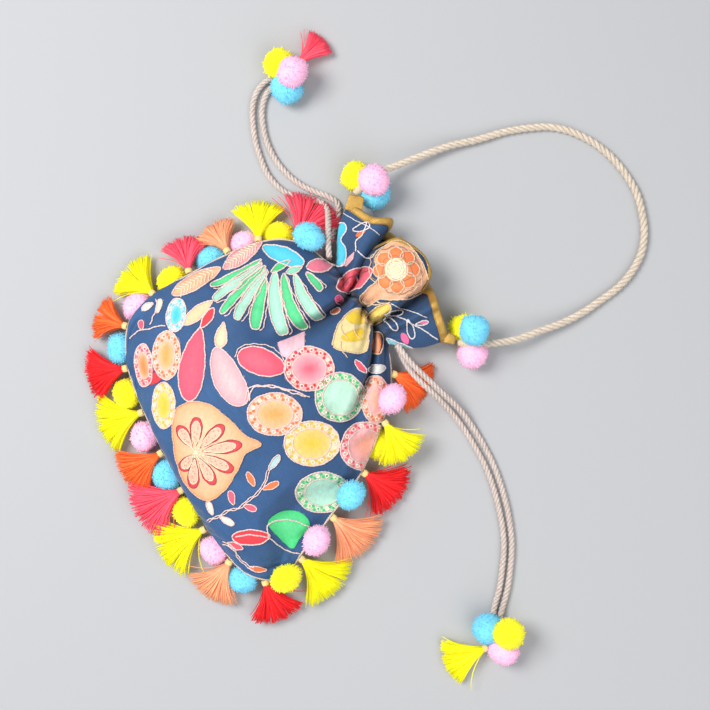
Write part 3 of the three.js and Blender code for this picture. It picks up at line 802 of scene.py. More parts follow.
def curve(points, closed=False):
    """A smooth line in the plane through a few points."""
    points = np.asarray(points, float)
    before = points[-1:] if closed else 2 * points[:1] - points[1:2]
    after = points[:2] if closed else 2 * points[-1:] - points[-2:-1]
    around = np.vstack([before, points, after])
    t = np.linspace(0, 1, 10, endpoint=False)[:, None]
    pieces = [
        0.5 * (2 * p1 + (p2 - p0) * t + (2 * p0 - 5 * p1 + 4 * p2 - p3) * t**2
               + (3 * p1 - p0 - 3 * p2 + p3) * t**3)
        for p0, p1, p2, p3 in zip(around, around[1:], around[2:], around[3:])
    ]
    return np.vstack(pieces if closed else [*pieces, points[-1:]])


def ellipse(centre, radii, degrees, share=1.0):
    turn = np.linspace(0, 2 * math.pi, 48, endpoint=False)[:, None]
    a = math.radians(degrees)
    along, across = np.array([math.cos(a), math.sin(a)]), np.array([-math.sin(a), math.cos(a)])
    return np.array(centre) + share * (radii[0] * np.cos(turn) * along + radii[1] * np.sin(turn) * across)


def leaf(root, tip, width, root_power=1.0, tip_power=0.5, bend=0.0):
    """A leaf's outline from root to tip. A power of 0.5 rounds that end and 1 points it."""
    s = (1 - np.cos(np.linspace(0, math.pi, 24))) / 2
    half = s**root_power * (1 - s) ** tip_power
    half *= width / 2 / half.max()
    root, along = np.array(root, float), np.subtract(tip, root).astype(float)
    across = np.array([-along[1], along[0]]) / np.linalg.norm(along)
    middle = root + along * s[:, None] + across * (bend * 4 * s * (1 - s))[:, None]
    return np.vstack([middle + across * half[:, None], (middle - across * half[:, None])[-2:0:-1]])


def is_inside(points, outline):
    x, y = points.T
    a, b = outline[:, :, None], np.roll(outline, -1, axis=0)[:, :, None]
    rise = np.where(b[:, 1] == a[:, 1], 1e-9, b[:, 1] - a[:, 1])
    crosses = ((a[:, 1] > y) != (b[:, 1] > y)) & (x < a[:, 0] + (y - a[:, 1]) / rise * (b[:, 0] - a[:, 0]))
    return crosses.sum(0) % 2 == 1


def gap_to(points, outline):
    return np.linalg.norm(points[:, None] - outline[None], axis=2).min(1)


class Side:
    """The print and the stitches on the front or the back of the pouch."""

    def __init__(self, back):
        self.back, self.print, self.thread, self.fields = back, Heap(), Heap(), []

    def placed(self, spots):
        """Spots of the front, or their mirror images on the back."""
        if not self.back:
            return spots
        away = np.cross(spots - MIDDLE, UPWARD) / np.cross(ROW_WAY, UPWARD)
        return spots - 2 * away[..., None] * ROW_WAY

    def point(self, spot, lift):
        x, y = self.placed(np.asarray(spot, float))
        return on_cloth(x, y, lift, self.back)

    def cloth_height(self, spot):
        hit = on_cloth(*spot, 0, self.back)
        return math.inf if hit is None else hit[2]

    def dye_cloth(self, spots, height, facing, dye):
        """The ink goes through: the cloth under each field takes the field's colour."""
        for edge, colour in self.fields:
            edge = self.placed(edge)
            near = facing & (spots > edge.min(0)).all(1) & (spots < edge.max(0)).all(1)
            near = np.flatnonzero(near)
            near = near[is_inside(spots[near], edge)]
            near = near[gap_to(spots[near], edge) > DYE_MARGIN]
            outer = [i for i in near if abs(self.cloth_height(spots[i]) - height[i]) < FACING * MM / 3]
            dye[outer, :3] = colour

    def field(self, outline, rim, middle=None, lift=PRINT_LIFT, grid=1.4, fade=0.8):
        """A field of colour that goes from rim at its edge to middle inside."""
        edge = resample(outline, 1.2, closed=True)
        if np.cross(edge, np.roll(edge, -1, axis=0)).sum() < 0:
            edge = edge[::-1]
        x, y = np.meshgrid(*(np.arange(edge[:, k].min(), edge[:, k].max(), grid) for k in (0, 1)))
        spots = np.column_stack([x.ravel(), y.ravel()])
        spots = spots[is_inside(spots, edge)]
        spots = spots[gap_to(spots, edge) > 0.55 * grid]
        made = delaunay_2d_cdt([Vector(p) for p in [*edge, *spots]], [], [list(range(len(edge)))], 1, 1e-5)
        flat, tris = np.array([tuple(v) for v in made[0]]), np.array(made[2])
        points = [self.point(p, lift) for p in flat]
        missing = np.array([p is None for p in points])
        points = np.array([np.zeros(3) if p is None else p for p in points])
        corners = points[tris]
        longest = np.linalg.norm(corners - np.roll(corners, 1, axis=1), axis=2).max(1)
        tris = tris[~missing[tris].any(1) & (longest < LONGEST_EDGE)]
        share = gap_to(flat, edge)
        share = (share / max(share.max(), 1e-6))[:, None] ** fade
        colour = np.array(rim) + (np.array(rim if middle is None else middle) - rim) * share
        colour = colour * (1 + 0.045 * rng.normal(size=(len(flat), 1)))
        self.fields.append((edge, colour.mean(0)))
        # The print takes the painted shade of the folds under it.
        colour = colour * light_at(points)
        if len(tris):
            self.print.add(points, np.zeros((0, 4), int), tris, colour)

    def stitch(self, line, closed=False, radius=STITCH_R, colour=THREAD, lift=STITCH_LIFT, wobble=0.16):
        """A line of chain stitch, thick and thin along each stitch."""
        flat = resample(line, STITCH_STEP, closed)
        many = len(flat)
        cycles = max(1, round(many * STITCH_STEP / 17))
        turn = np.arange(many) / many * 2 * math.pi
        phase = rng.uniform(0, 2 * math.pi, 4)
        sway = [np.sin(cycles * turn + p) + 0.7 * np.sin((2 * cycles + 1) * turn + q)
                for p, q in (phase[:2], phase[2:])]
        flat = flat + wobble * np.column_stack(sway)
        points = [self.point(p, lift) for p in flat]
        runs, run = [], []
        for p in points:
            if p is not None and (not run or math.dist(p, run[-1]) < 4 * MM):
                run.append(p)
            else:
                runs.append(run)
                run = [] if p is None else [p]
        runs.append(run)
        for run in runs:
            if len(run) < 4:
                continue
            whole = closed and len(run) == many
            path = np.array(run)
            along = unit(np.gradient(path, axis=0))
            across = unit(np.cross(along, (0, 0, 1.0)))
            beat = np.abs(np.sin(np.arange(len(path)) * STITCH_STEP / STITCH_PERIOD * math.pi))
            verts, quads, tris = tube(
                path, radius * (0.75 + 0.38 * beat), 4, across, np.cross(across, along), whole, 0.85,
            )
            # Painted light on each stitch's thick middle and painted shade at its thin waist, random tone,
            # and the painted shade of the folds.
            shade = 0.86 + 0.2 * beat + 0.05 * rng.normal(size=len(path))
            shade = np.repeat(shade * light_at(path)[:, 0] ** 0.6, 4)[:, None]
            self.thread.add(verts, quads, tris, np.array(colour) * shade)

    def outlined(self, outline, rim, middle=None, colour=THREAD, lift=PRINT_LIFT, radius=STITCH_R, fade=0.8):
        self.field(outline, rim, middle, lift, fade=fade)
        self.stitch(outline, True, radius, colour, lift + STITCH_LIFT - PRINT_LIFT)

    def bead(self, spot, size, colour):
        """One small raised knot of thread."""
        centre = self.point(np.asarray(spot, float), OVER_LIFT + 0.3 * MM)
        if centre is not None:
            tips = np.array([(1, 0, 0), (-1, 0, 0), (0, 1, 0), (0, -1, 0), (0, 0, 1), (0, 0, -1)]) * size
            faces = [(0, 2, 4), (2, 1, 4), (1, 3, 4), (3, 0, 4), (2, 0, 5), (1, 2, 5), (3, 1, 5), (0, 3, 5)]
            self.thread.add(centre + tips, np.zeros((0, 4), int), faces, colour)

    def oval(self, centre, radii, degrees, strong, pale, glow):
        """An oval with a checked and ringed band round a glowing middle."""
        outer = ellipse(centre, radii, degrees)
        share = 1 - 5.0 / min(radii) if min(radii) > 12 else 0.6
        self.field(outer, paler(strong))
        self.field(ellipse(centre, radii, degrees, share), pale, glow, OVER_LIFT)
        self.stitch(outer, True)
        self.stitch(ellipse(centre, radii, degrees, share), True, 0.8 * STITCH_R)
        middle = ellipse(centre, radii, degrees, (1 + share) / 2)
        posts = resample(middle, 3.3, closed=True)
        for i, post in enumerate(posts):
            if i % 2:
                out = unit(post - np.array(centre, float))
                way = np.array([-out[1], out[0]])
                for shift in (0.85, -0.85):
                    spot = post + out * shift * 1.25 + way * shift
                    corners = [out + way, way - out, -out - way, out - way]
                    self.field(spot + np.array(corners), strong, lift=OVER_LIFT, grid=9)
            else:
                self.field(ellipse(post, (1.5, 1.5), 0), CREAM, strong, OVER_LIFT, grid=9)
                self.stitch(ellipse(post, (1.25, 1.25), 0), True, 0.36 * MM, srgb(252, 240, 226), wobble=0.0)


def paler(colour):
    """A colour half way to pale cream."""
    return (np.array(colour) + srgb(252, 236, 222)) / 2


# Ovals: centre, the two radii and the turn in degrees, then the colours of the band's checks,
# the inside, and the middle of the inside.
OVALS = [
    ((17, 7), (19, 15), 53, ORANGE, PEACH, srgb(250, 168, 88)),
    ((6, 45), (17.5, 15.5), 53, RED, PINK, srgb(240, 96, 120)),
    ((35, 50), (17.5, 17.5), 53, GREEN, srgb(184, 226, 200), srgb(190, 232, 210)),
    ((49, 15), (19.5, 16), 53, LEMON, srgb(236, 204, 132), srgb(242, 192, 56)),
    ((74, 43), (17.5, 17.5), 53, CORAL, PINK, srgb(250, 168, 140)),
    ((82, -1), (19, 15.5), 53, GREEN, srgb(176, 222, 196), srgb(178, 226, 208)),
    ((52, 69), (10, 17), 53, ORANGE, PINK, PEACH),
    ((-62, -30), (10.5, 17), 53, ORANGE, PEACH, srgb(252, 160, 74)),
    ((-67, -49), (7.5, 15.5), 53, CORAL, PEACH, srgb(252, 140, 62)),
    ((-35, -53), (9, 16.5), 53, LEMON, srgb(240, 206, 110), srgb(244, 194, 44)),
    ((-81, -8), (12, 7.5), -43, CYAN, srgb(130, 216, 238), srgb(60, 196, 238)),
]
# The fan's fingers: root, tip, width at the round end, bend, and colour.
FINGERS = [
    ((-77, 64), (-83, 24), 5.0, 1.5, GREEN), ((-74, 63), (-73, 20), 6.5, -1.0, MINT),
    ((-71, 64), (-62, 19), 6.0, -1.5, GREEN), ((-68, 63), (-52, 25), 7.0, -2.0, MINT),
    ((-64, 59), (-39, 31), 8.5, -1.0, GREEN), ((-64, 67), (-24, 45), 9.5, -3.0, MINT),
    ((-59, 71), (-18, 59), 8.5, -4.0, GREEN), ((-54, 77), (-17, 72), 8.0, -3.0, MINT),
    ((-50, 84), (-33, 85), 5.5, 0.0, GREEN),
]
# The flower on the large leaf: the tips of its petals, seen from its centre.
FLOWER = (5, -54)
PETALS = [(-17, -53), (-14, -38), (2, -26), (20, -24), (31, -40), (31, -57), (24, -72), (9, -71)]


def draw_flower(side):
    side.outlined(
        curve([(-20, -56), (-27, -46), (-25, -35), (-15, -25), (3, -20), (17, -18), (28, -13), (27, -26),
               (33, -38), (38, -51), (39, -63), (35, -71), (20, -75), (0, -69)], closed=True),
        srgb(240, 156, 98), srgb(248, 200, 162), srgb(226, 176, 140), fade=0.4,
    )
    for tip in PETALS:
        tip = np.array(tip, float)
        way = tip - FLOWER
        root = FLOWER + way * 0.16
        side.field(leaf(root, tip, 8.6, 1.0, 0.5), RED, srgb(236, 84, 84), OVER_LIFT)
        side.stitch(leaf(root, tip, 8.6, 1.0, 0.5), True, 0.3 * MM, MAROON)
        inner = leaf(root, FLOWER + way * 0.88, 6.2, 1.0, 0.5)
        side.field(inner, srgb(240, 178, 150), srgb(236, 190, 164), OVER_LIFT + 0.12 * MM)
        side.stitch(inner, True, 0.36 * MM, CREAM)
        across = unit(np.array([-way[1], way[0]]))
        for k in range(11):
            spot = FLOWER + way * (0.34 + 0.047 * k) + across * rng.uniform(-1, 1) * (0.8 + 0.14 * k)
            side.bead(spot, 0.5 * MM, (CREAM, srgb(226, 120, 110), srgb(200, 150, 120))[k % 3])
        side.stitch([FLOWER, root], colour=CREAM, radius=THIN_STITCH_R, wobble=0.1)


def draw_fan(side):
    for root, tip, width, bend, colour in FINGERS:
        outline = leaf(root, tip, width, 0.5, 0.24, bend)
        light = srgb(92, 214, 146) if colour is GREEN else srgb(178, 228, 204)
        side.outlined(outline, colour, light)
        beside = leaf(np.add(root, (1.2, -0.6)), np.add(tip, (1.0, 0.6)), width + 2.6, 0.5, 0.24, bend)
        side.stitch(beside[: len(beside) // 2], wobble=0.35, radius=FINE_STITCH_R)
    side.outlined(leaf((-65, 64), (-64, 80), 5, 0.8, 0.8), GREEN)
    side.outlined(leaf((-58, 72), (-55, 84), 5, 0.8, 0.8), MINT)


def draw_leaves(side):
    deep_pink = srgb(244, 120, 150)
    coral = srgb(246, 78, 104)
    side.outlined(leaf((-63, 2), (-26, -36), 18.5, 0.85, 0.55, -1.5), coral, CORAL)
    side.outlined(leaf((-45, 2), (-1, -6), 20, 0.6, 0.45, -2.0), srgb(238, 158, 168), srgb(240, 190, 190))
    side.outlined(leaf((-56, 17), (-43, 4), 8.5, 1.0, 0.5), PEACH, srgb(252, 214, 178))
    side.outlined(leaf((-32, 12), (-3, 31), 18.5, 0.5, 0.6), coral, srgb(248, 104, 124))
    rim = curve([(-31, 9), (-35, 17), (-27, 29), (-16, 35), (-4, 33)])
    side.stitch(rim, radius=THIN_STITCH_R, wobble=0.35)
    side.field([(-22, 38), (-17, 58), (-6, 50), (-6, 39), (-13, 35)], srgb(246, 190, 206),
               srgb(250, 206, 216))
    side.outlined(leaf((-72, -7), (-73, 19), 9, 0.6, 0.8), PEACH, srgb(252, 206, 160))
    side.outlined(leaf((-62, 1), (-68, 17), 6.5, 0.9, 0.7), RED)
    side.outlined(leaf((-53, 86), (-44, 103), 10, 0.7, 0.8), srgb(236, 130, 140), deep_pink)
    side.outlined(leaf((-84, 70), (-56, 86), 12, 0.6, 0.5), srgb(60, 196, 222), CYAN)
    side.outlined(leaf((-88, 38), (-88, 72), 12, 0.7, 0.8), srgb(236, 140, 150), PINK)
    side.outlined(leaf((-95, -2), (-90, 37), 12, 0.6, 0.7), srgb(236, 166, 132), PEACH)
    for root, tip in (((-88, 40), (-88, 70)), ((-94, 0), (-91, 35))):
        root, way = np.array(root, float), np.subtract(tip, root)
        for k in np.arange(0.12, 0.92, 0.08):
            spot = root + way * k
            chevron = spot + np.array([(-4, -2), (0, 1.6), (4, -2)])
            side.stitch(chevron, radius=FINE_STITCH_R, colour=CREAM)
    side.field(leaf((-62, -60), (-52, -42), 9, 0.6, 0.6), RED)


def draw_sprigs(side):
    stem = curve([(49, -79), (51, -63), (54, -51), (52, -31), (45, -21)])
    for shift in ((0, 0), (1.3, 0.6)):
        side.stitch(stem + shift, wobble=0.35, radius=FINE_STITCH_R)
    white = srgb(226, 222, 210)
    buds = [
        ((49, -35), (38, -33), ORANGE), ((54, -32), (57, -20), ORANGE), ((51, -55), (41, -51), CORAL),
        ((55, -50), (63, -44), CORAL), ((48, -72), (38, -69), white), ((51, -69), (62, -64), white),
        ((46, -21), (42, -8), srgb(176, 206, 206)),
    ]
    for root, tip, colour in buds:
        side.outlined(leaf(root, tip, 4.6, 0.8, 0.5), colour, radius=THIN_STITCH_R)
    side.stitch(curve([(-90, -47), (-88, -35), (-80, -19)]), wobble=0.35)
    side.stitch(curve([(-87, -28), (-91, -22), (-96, -16), (-100, -14)]), wobble=0.35)
    for root, tip, colour in [((-88, -35), (-95, -32), CORAL), ((-99, -17), (-101, -27), white),
                              ((-91, -19), (-98, -11), CREAM)]:
        side.outlined(leaf(root, tip, 4.6, 0.8, 0.5), colour, radius=THIN_STITCH_R)
    for shift in ((0, 0), (1.5, 2.5)):
        side.stitch(curve([(-3, -4), (-8, 4), (-4, 12), (3, 19), (11, 25), (20, 31)]) + shift, wobble=0.35)
    side.outlined(leaf((69, -71), (84, -50), 11.5, 0.5, 0.5), RED, srgb(236, 60, 72))
    side.stitch(curve([(70, -69), (75, -59), (84, -51)]))
    side.stitch(curve([(84, -51), (93, -50), (104, -46), (114, -36)]))
    side.field(
        curve([(76, -45), (74, -37), (77, -29), (86, -22), (96, -23), (100, -36), (102, -44), (88, -46)],
              closed=True), srgb(60, 206, 120), srgb(96, 226, 150))
    side.stitch(curve([(84, -51), (77, -46), (79, -38), (86, -30), (97, -24)]))
    twig = curve([(68, -79), (76, -75), (86, -77), (97, -73)])
    for shift in ((0, 0), (1.5, -1.5)):
        side.stitch(twig + shift, wobble=0.4, radius=FINE_STITCH_R)
    side.outlined(leaf((70, -77), (80, -70), 5, 0.7, 0.7), DEEP_CORAL, radius=THIN_STITCH_R)
    side.outlined(leaf((94, -76), (104, -68), 5, 0.7, 0.7), ORANGE, radius=THIN_STITCH_R)


def draw_frill(side):
    beige, white = srgb(226, 196, 160), srgb(232, 224, 226)
    # The left lobe: a cyan leaf, thread loops and the blunt lips of a bud.
    side.outlined(
        curve([(-66, 119), (-64, 127), (-58, 126), (-55, 119), (-47, 117), (-40, 110), (-42, 105), (-50, 107),
               (-60, 112)], closed=True), srgb(52, 190, 222), srgb(84, 208, 234), white)
    side.stitch(
        curve([(-71, 131), (-61, 134), (-53, 138), (-41, 142)]), wobble=0.1, radius=0.34 * MM, colour=white)
    side.stitch(
        curve([(-55, 129), (-55, 136), (-52, 141), (-49, 139), (-51, 132)], closed=True), colour=white)
    side.stitch(curve([(-53, 141), (-48, 133), (-47, 126), (-41, 122)]), colour=white)
    side.stitch(curve([(-41, 123), (-34, 124), (-30, 128), (-32, 134)]), colour=white)
    side.field(leaf((-50, 128), (-49, 136), 3.4, 0.6, 0.6), ORANGE)
    side.field([(-41, 107), (-42, 121), (-38, 117), (-37, 110)], PINK)
    side.outlined(leaf((-28, 94), (-24, 123), 14, 0.55, 0.6), DEEP_CORAL, srgb(248, 104, 124))
    side.stitch(curve([(-27, 96), (-29, 108), (-24, 121)]), wobble=0.1, radius=0.3 * MM, colour=MAROON)
    for k in range(3):
        side.stitch(ellipse((-21, 91), (0.8 + k, 0.8 + k), 0), True, 0.5 * MM, srgb(232, 70, 120), wobble=0.1)
    # The middle lobe: a flower of orange petals round a coil of thread.
    side.outlined(
        curve([(-31, 139), (-29, 150), (-20, 154), (-8, 154), (7, 150), (11, 146), (9, 136), (6, 127),
               (-3, 115), (-4, 106), (-12, 102), (-15, 112), (-16, 123), (-27, 128)], closed=True),
        srgb(240, 176, 136), srgb(246, 190, 150), beige)
    for degrees in range(10, 370, 45):
        a = math.radians(degrees)
        way = np.array([math.cos(a), math.sin(a)])
        side.outlined(leaf(way * 6 + (-13, 136), way * 16 + (-13, 136), 10, 0.5, 0.5), ORANGE,
                      srgb(250, 140, 80), beige, OVER_LIFT)
    side.field(ellipse((-13, 136), (8, 8), 0), CREAM, srgb(246, 224, 180), OVER_LIFT + 0.12 * MM)
    wind = np.linspace(0, 8 * math.pi, 90)[:, None]
    coil = np.hstack([np.cos(wind), np.sin(wind)]) * (1 + 6.6 * wind / wind[-1]) + (-13, 136)
    side.stitch(coil, radius=0.5 * MM, colour=CREAM, lift=STITCH_LIFT + 0.2 * MM, wobble=0.2)
    for size, shade in ((19, beige), (17.4, srgb(176, 120, 92)), (10.4, srgb(196, 120, 90))):
        side.stitch(ellipse((-13, 136), (size, size - 1.5), 20), True, THIN_STITCH_R, shade, wobble=0.7)
    for start in ((-11, 104), (-8, 110), (-6, 116)):
        side.stitch(curve([start, np.add(start, (6, 3)), np.add(start, (11, 9))]), colour=beige)
    # The right lobe: a white sprig with pink buds.
    side.stitch(curve([(6, 111), (15, 118), (29, 125), (44, 131)]), colour=white)
    side.stitch(curve([(4, 119), (15, 126), (27, 134)]), colour=white, radius=THIN_STITCH_R)
    for root, tip, width in [((7, 111), (14, 123), 5), ((8, 110), (21, 112), 5), ((20, 122), (33, 117), 5),
                             ((26, 124), (30, 133), 3.5)]:
        side.stitch(leaf(root, tip, width, 0.8, 0.5), True, colour=white)
    side.field(leaf((25, 113), (34, 112), 5, 0.7, 0.7), srgb(244, 110, 160), lift=OVER_LIFT)
    side.field(leaf((26, 127), (30, 132), 3, 0.7, 0.7), srgb(244, 110, 160), lift=OVER_LIFT)
    side.outlined(leaf((22, 102), (46, 118), 5, 0.7, 0.9, -2), CYAN, srgb(180, 226, 226), white)
    # The gathers under it: fields of yellow with beige thread.
    side.outlined(
        curve([(3, 68), (-6, 79), (-9, 92), (-4, 102), (9, 96), (20, 84), (13, 74)], closed=True),
        srgb(226, 204, 140), srgb(238, 218, 160), beige)
    side.field(curve([(-7, 87), (-8, 93), (-5, 100), (2, 99), (3, 94), (-1, 88)], closed=True), LEMON,
               srgb(250, 214, 40), OVER_LIFT)
    side.field(curve([(1, 77), (3, 87), (6, 92), (12, 87), (6, 77)], closed=True), LEMON, srgb(252, 208, 30),
               OVER_LIFT)
    for start in ((-4, 100), (-1, 89), (4, 74), (-6, 82)):
        thread = curve([start, np.add(start, (5, -3)), np.add(start, (12, -3))])
        side.stitch(thread, colour=beige, radius=THIN_STITCH_R)
    side.outlined(curve([(1, 98), (-1, 108), (2, 117), (6, 117), (10, 108), (8, 99)], closed=True), LEMON,
                  srgb(238, 206, 110), beige)
    side.field(curve([(13, 99), (18, 99), (26, 92), (25, 88), (18, 91)], closed=True), ORANGE, PEACH)
    side.stitch(curve([(12, 97), (18, 101), (27, 92), (24, 87)]), colour=beige)
    side.outlined(leaf((31, 77), (38, 88), 6, 0.6, 0.6), srgb(226, 226, 220), colour=white)
    side.outlined(leaf((20, 74), (32, 75), 4.5, 0.7, 0.7), DEEP_CORAL, colour=white, radius=THIN_STITCH_R)
    side.outlined(leaf((-17, 80), (-14, 88), 5, 0.6, 0.6), ORANGE, colour=white, radius=THIN_STITCH_R)


for back in (False, True):
    side = Side(back)
    for oval in OVALS:
        side.oval(*oval)
    draw_fan(side)
    draw_leaves(side)
    draw_flower(side)
    draw_sprigs(side)
    draw_frill(side)
    side.dye_cloth(cloth_points[:, :2] / MM, cloth_points[:, 2], (cloth_normals[:, 2] < 0) == back, cloth_dye)
    which = "back" if back else "front"
    prints = side.print.build(f"print_{which}", motif_mat)
    embroidery = side.thread.build(f"embroidery_{which}", stitch_mat)
    declare(prints, "print_cloth")
    declare(embroidery, "print_cloth")

dye_layer.foreach_set("color", cloth_dye.ravel())

# A thin twisted cord runs round the seam, from the neck down one side and up the other.
down = seam_line[: np.searchsorted(np.linspace(0, MOUTH, len(seam_line)), NECK)]
bottom = pouch_ring(0.0)[4 : HALF_STEPS - 3 : 4]
seam_route = np.vstack([down[:2:-6, 0], bottom, down[3::6, 1]]) / MM
SEAM_CORD_D, SEAM_CORD_PITCH, SEAM_CORD_STEP = 1.9 * MM, 5.5 * MM, 1.1 * MM
heap, _ = twisted_cord(
    seam_route, SEAM_CORD_D, SEAM_CORD_PITCH, SEAM_CORD_STEP, srgb(232, 208, 192), sides=6,
)
declare(heap.build("seam_cord", rope_mat), "cream_rope")

# ---- Gold satin at the mouth --------------------------------------------------------------------


def folded_satin(name, verts, quads, thickness, slot_nodes, rounds=1):
    piece = add_mesh(name, verts, [quads], satin_mat)
    thick = piece.modifiers.new("thick", "SOLIDIFY")
    thick.thickness, thick.offset = thickness, 0.0
    soft = piece.modifiers.new("soft", "SUBSURF")
    soft.levels = soft.render_levels = rounds
    apply_modifiers(piece)
    points = keep_above_floor(coordinates(piece.data))
    piece.data.vertices.foreach_set("co", points.astype(np.float32).ravel())
    declare(piece, "gold_satin", *slot_nodes)


BINDING_OFF, BINDING_T = 0.8 * MM, 0.5 * MM
BINDING_ROWS = np.linspace(16.5, MOUTH, 11)
outer_rows = np.array([pouch_ring(t) for t in BINDING_ROWS])
# The binding's edge lies a third of a row below the mouth, nearer where the middle lobe rolls over.
EDGE_ROW = 16.64
binding_edge = np.concatenate([
    EDGE_ROW + 0.3 * bell(ACROSS, 0.03, 0.32), np.full(RING - HALF_STEPS - 1, EDGE_ROW),
])


def columns_at(t):
    """The point of each column of the pouch at its own row number."""
    return np.array([
        [np.interp(t[k], BINDING_ROWS, outer_rows[:, k, axis]) for axis in range(3)] for k in range(RING)
    ])


outside = np.array([
    columns_at(binding_edge + (MOUTH - binding_edge) * share) for share in (0, 0.35, 0.7, 1)
])
inside_rows = np.array([pouch_ring(t, FACING) for t in (16.96, 16.75, 16.55)])


def outward(rows):
    """Normals of a band of rows, pointing away from its middle."""
    round_way = np.roll(rows, -1, axis=1) - np.roll(rows, 1, axis=1)
    normal = unit(np.cross(round_way, np.gradient(rows, axis=0)))
    away = rows - rows.mean(1, keepdims=True)
    return normal if (normal * away).sum() > 0 else -normal


gather = 0.25 * MM * rng.normal(size=(RING, 1))
gather = (gather + np.roll(gather, 1, axis=0) + np.roll(gather, -1, axis=0)) / 1.7
outer = outside + outward(outside) * (BINDING_OFF + gather)
lip = outside[-1:] + unit(outside[-1:] - outside[-2:-1]) * (0.9 * MM)
inner = inside_rows - outward(inside_rows[::-1])[::-1] * BINDING_OFF
band = np.concatenate([outer[:-1], (outer[-1:] * 2 + lip) / 3, lip, (lip + inner[:1]) / 2, inner])
binding_quads, _ = ring_faces(len(band), RING)
folded_satin("mouth_edging", band.reshape(-1, 3), binding_quads, BINDING_T, ["mouth_binding"], 0)

# Each tab: the way its width runs, in radians, the column of the mouth it is sewn to, and its size.
TABS = {"left": (0.7, 9, 12 * MM, 11 * MM), "right": (-0.9, HALF_STEPS - 4, 7 * MM, 7.5 * MM)}
for side_name, (heading, column, tab_width, tab_length) in TABS.items():
    low, high = node_box(f"handle_tab_{side_name}")
    centre = 0.35 * (low + high) / 2 + 0.65 * outside[-1, column] + np.array([0, 0, 2 * MM])
    across = np.array([math.cos(heading), math.sin(heading), 0])
    out = np.array([-across[1], across[0], 0])
    bend = np.linspace(-math.pi / 2, math.pi / 2, 7)
    loop = [(-0.5 * tab_length, -0.9 * MM), (0.1 * tab_length, -1.1 * MM)]
    loop += [(0.36 * tab_length + 1.2 * MM * math.cos(a), 1.2 * MM * math.sin(a)) for a in bend]
    loop += [(0.05 * tab_length, 1.5 * MM), (-0.3 * tab_length, 1.2 * MM), (-0.62 * tab_length, 0.3 * MM)]
    columns = np.linspace(-0.5, 0.5, 9)
    verts = []
    for a, z in loop:
        for c in columns:
            crease = 0.3 * MM * math.sin(9 * c + a / MM)
            verts.append(centre + out * a + across * c * tab_width * (1 - 0.14 * a / tab_length)
                         + np.array([0, 0, z + crease - 1.0 * MM * c * c]))
    k, i = np.meshgrid(np.arange(len(columns) - 1), np.arange(len(loop) - 1))
    start = (i * len(columns) + k).ravel()
    quads = np.stack([start, start + 1, start + 1 + len(columns), start + len(columns)], 1)
    folded_satin(f"satin_tab_{side_name}", np.array(verts), quads, 0.45 * MM, [f"handle_tab_{side_name}"])



def wound(start, way, first, second, steps, winds, bulge):
    """Thread wound along way round a core: the coil, the line of the core and the core's radius."""
    share = np.linspace(0, 1, steps)
    turn = share * winds * 2 * math.pi
    line = start + way * share[:, None]
    core_r = (1.9 + bulge * np.sin(math.pi * share)) * MM
    ring = first * np.cos(turn)[:, None] + second * np.sin(turn)[:, None]
    return line + ring * core_r[:, None], line, core_r


# A knot of thread ties each end of the handle to its tab.
KNOTS = {"left": (handle_path[0], (-76, 147, 17)), "right": (handle_path[-1], (55, 142, 18))}
for side_name, (end, at_the_tab) in KNOTS.items():
    other = np.array(at_the_tab) * MM
    way = unit(other - end)
    first = unit(np.cross(way, (0, 0, 1.0)))
    coil, line, core_r = wound(end, other - end, first, np.cross(way, first), 90, 7, 0.8)
    heap = Heap()
    heap.add(*tube(coil, 0.7 * MM, 6), srgb(224, 206, 172))
    heap.add(*tube(line, core_r, 10), srgb(206, 186, 160))
    declare(heap.build(f"handle_knot_{side_name}", rope_mat), "cream_rope")

# ---- Pompoms ------------------------------------------------------------------------------------

FIBRES, POM_SIZE, CLUSTER_POM_SIZE = 850, 1.12, 1.13
ball = bmesh.new()
bmesh.ops.create_icosphere(ball, subdivisions=3, radius=1.0)
ball_verts = np.array([tuple(v.co) for v in ball.verts])
ball_tris = np.array([[v.index for v in f.verts] for f in ball.faces])
ball.free()


def uneven(directions):
    """A lumpy radius near 1 in each direction."""
    lumps = 1 + np.zeros(len(directions))
    for _ in range(5):
        way, speed, phase = unit(rng.normal(size=3)), rng.uniform(2, 6), rng.uniform(0, 6)
        lumps += 0.022 * np.sin(speed * (directions @ way) + phase)
    return lumps


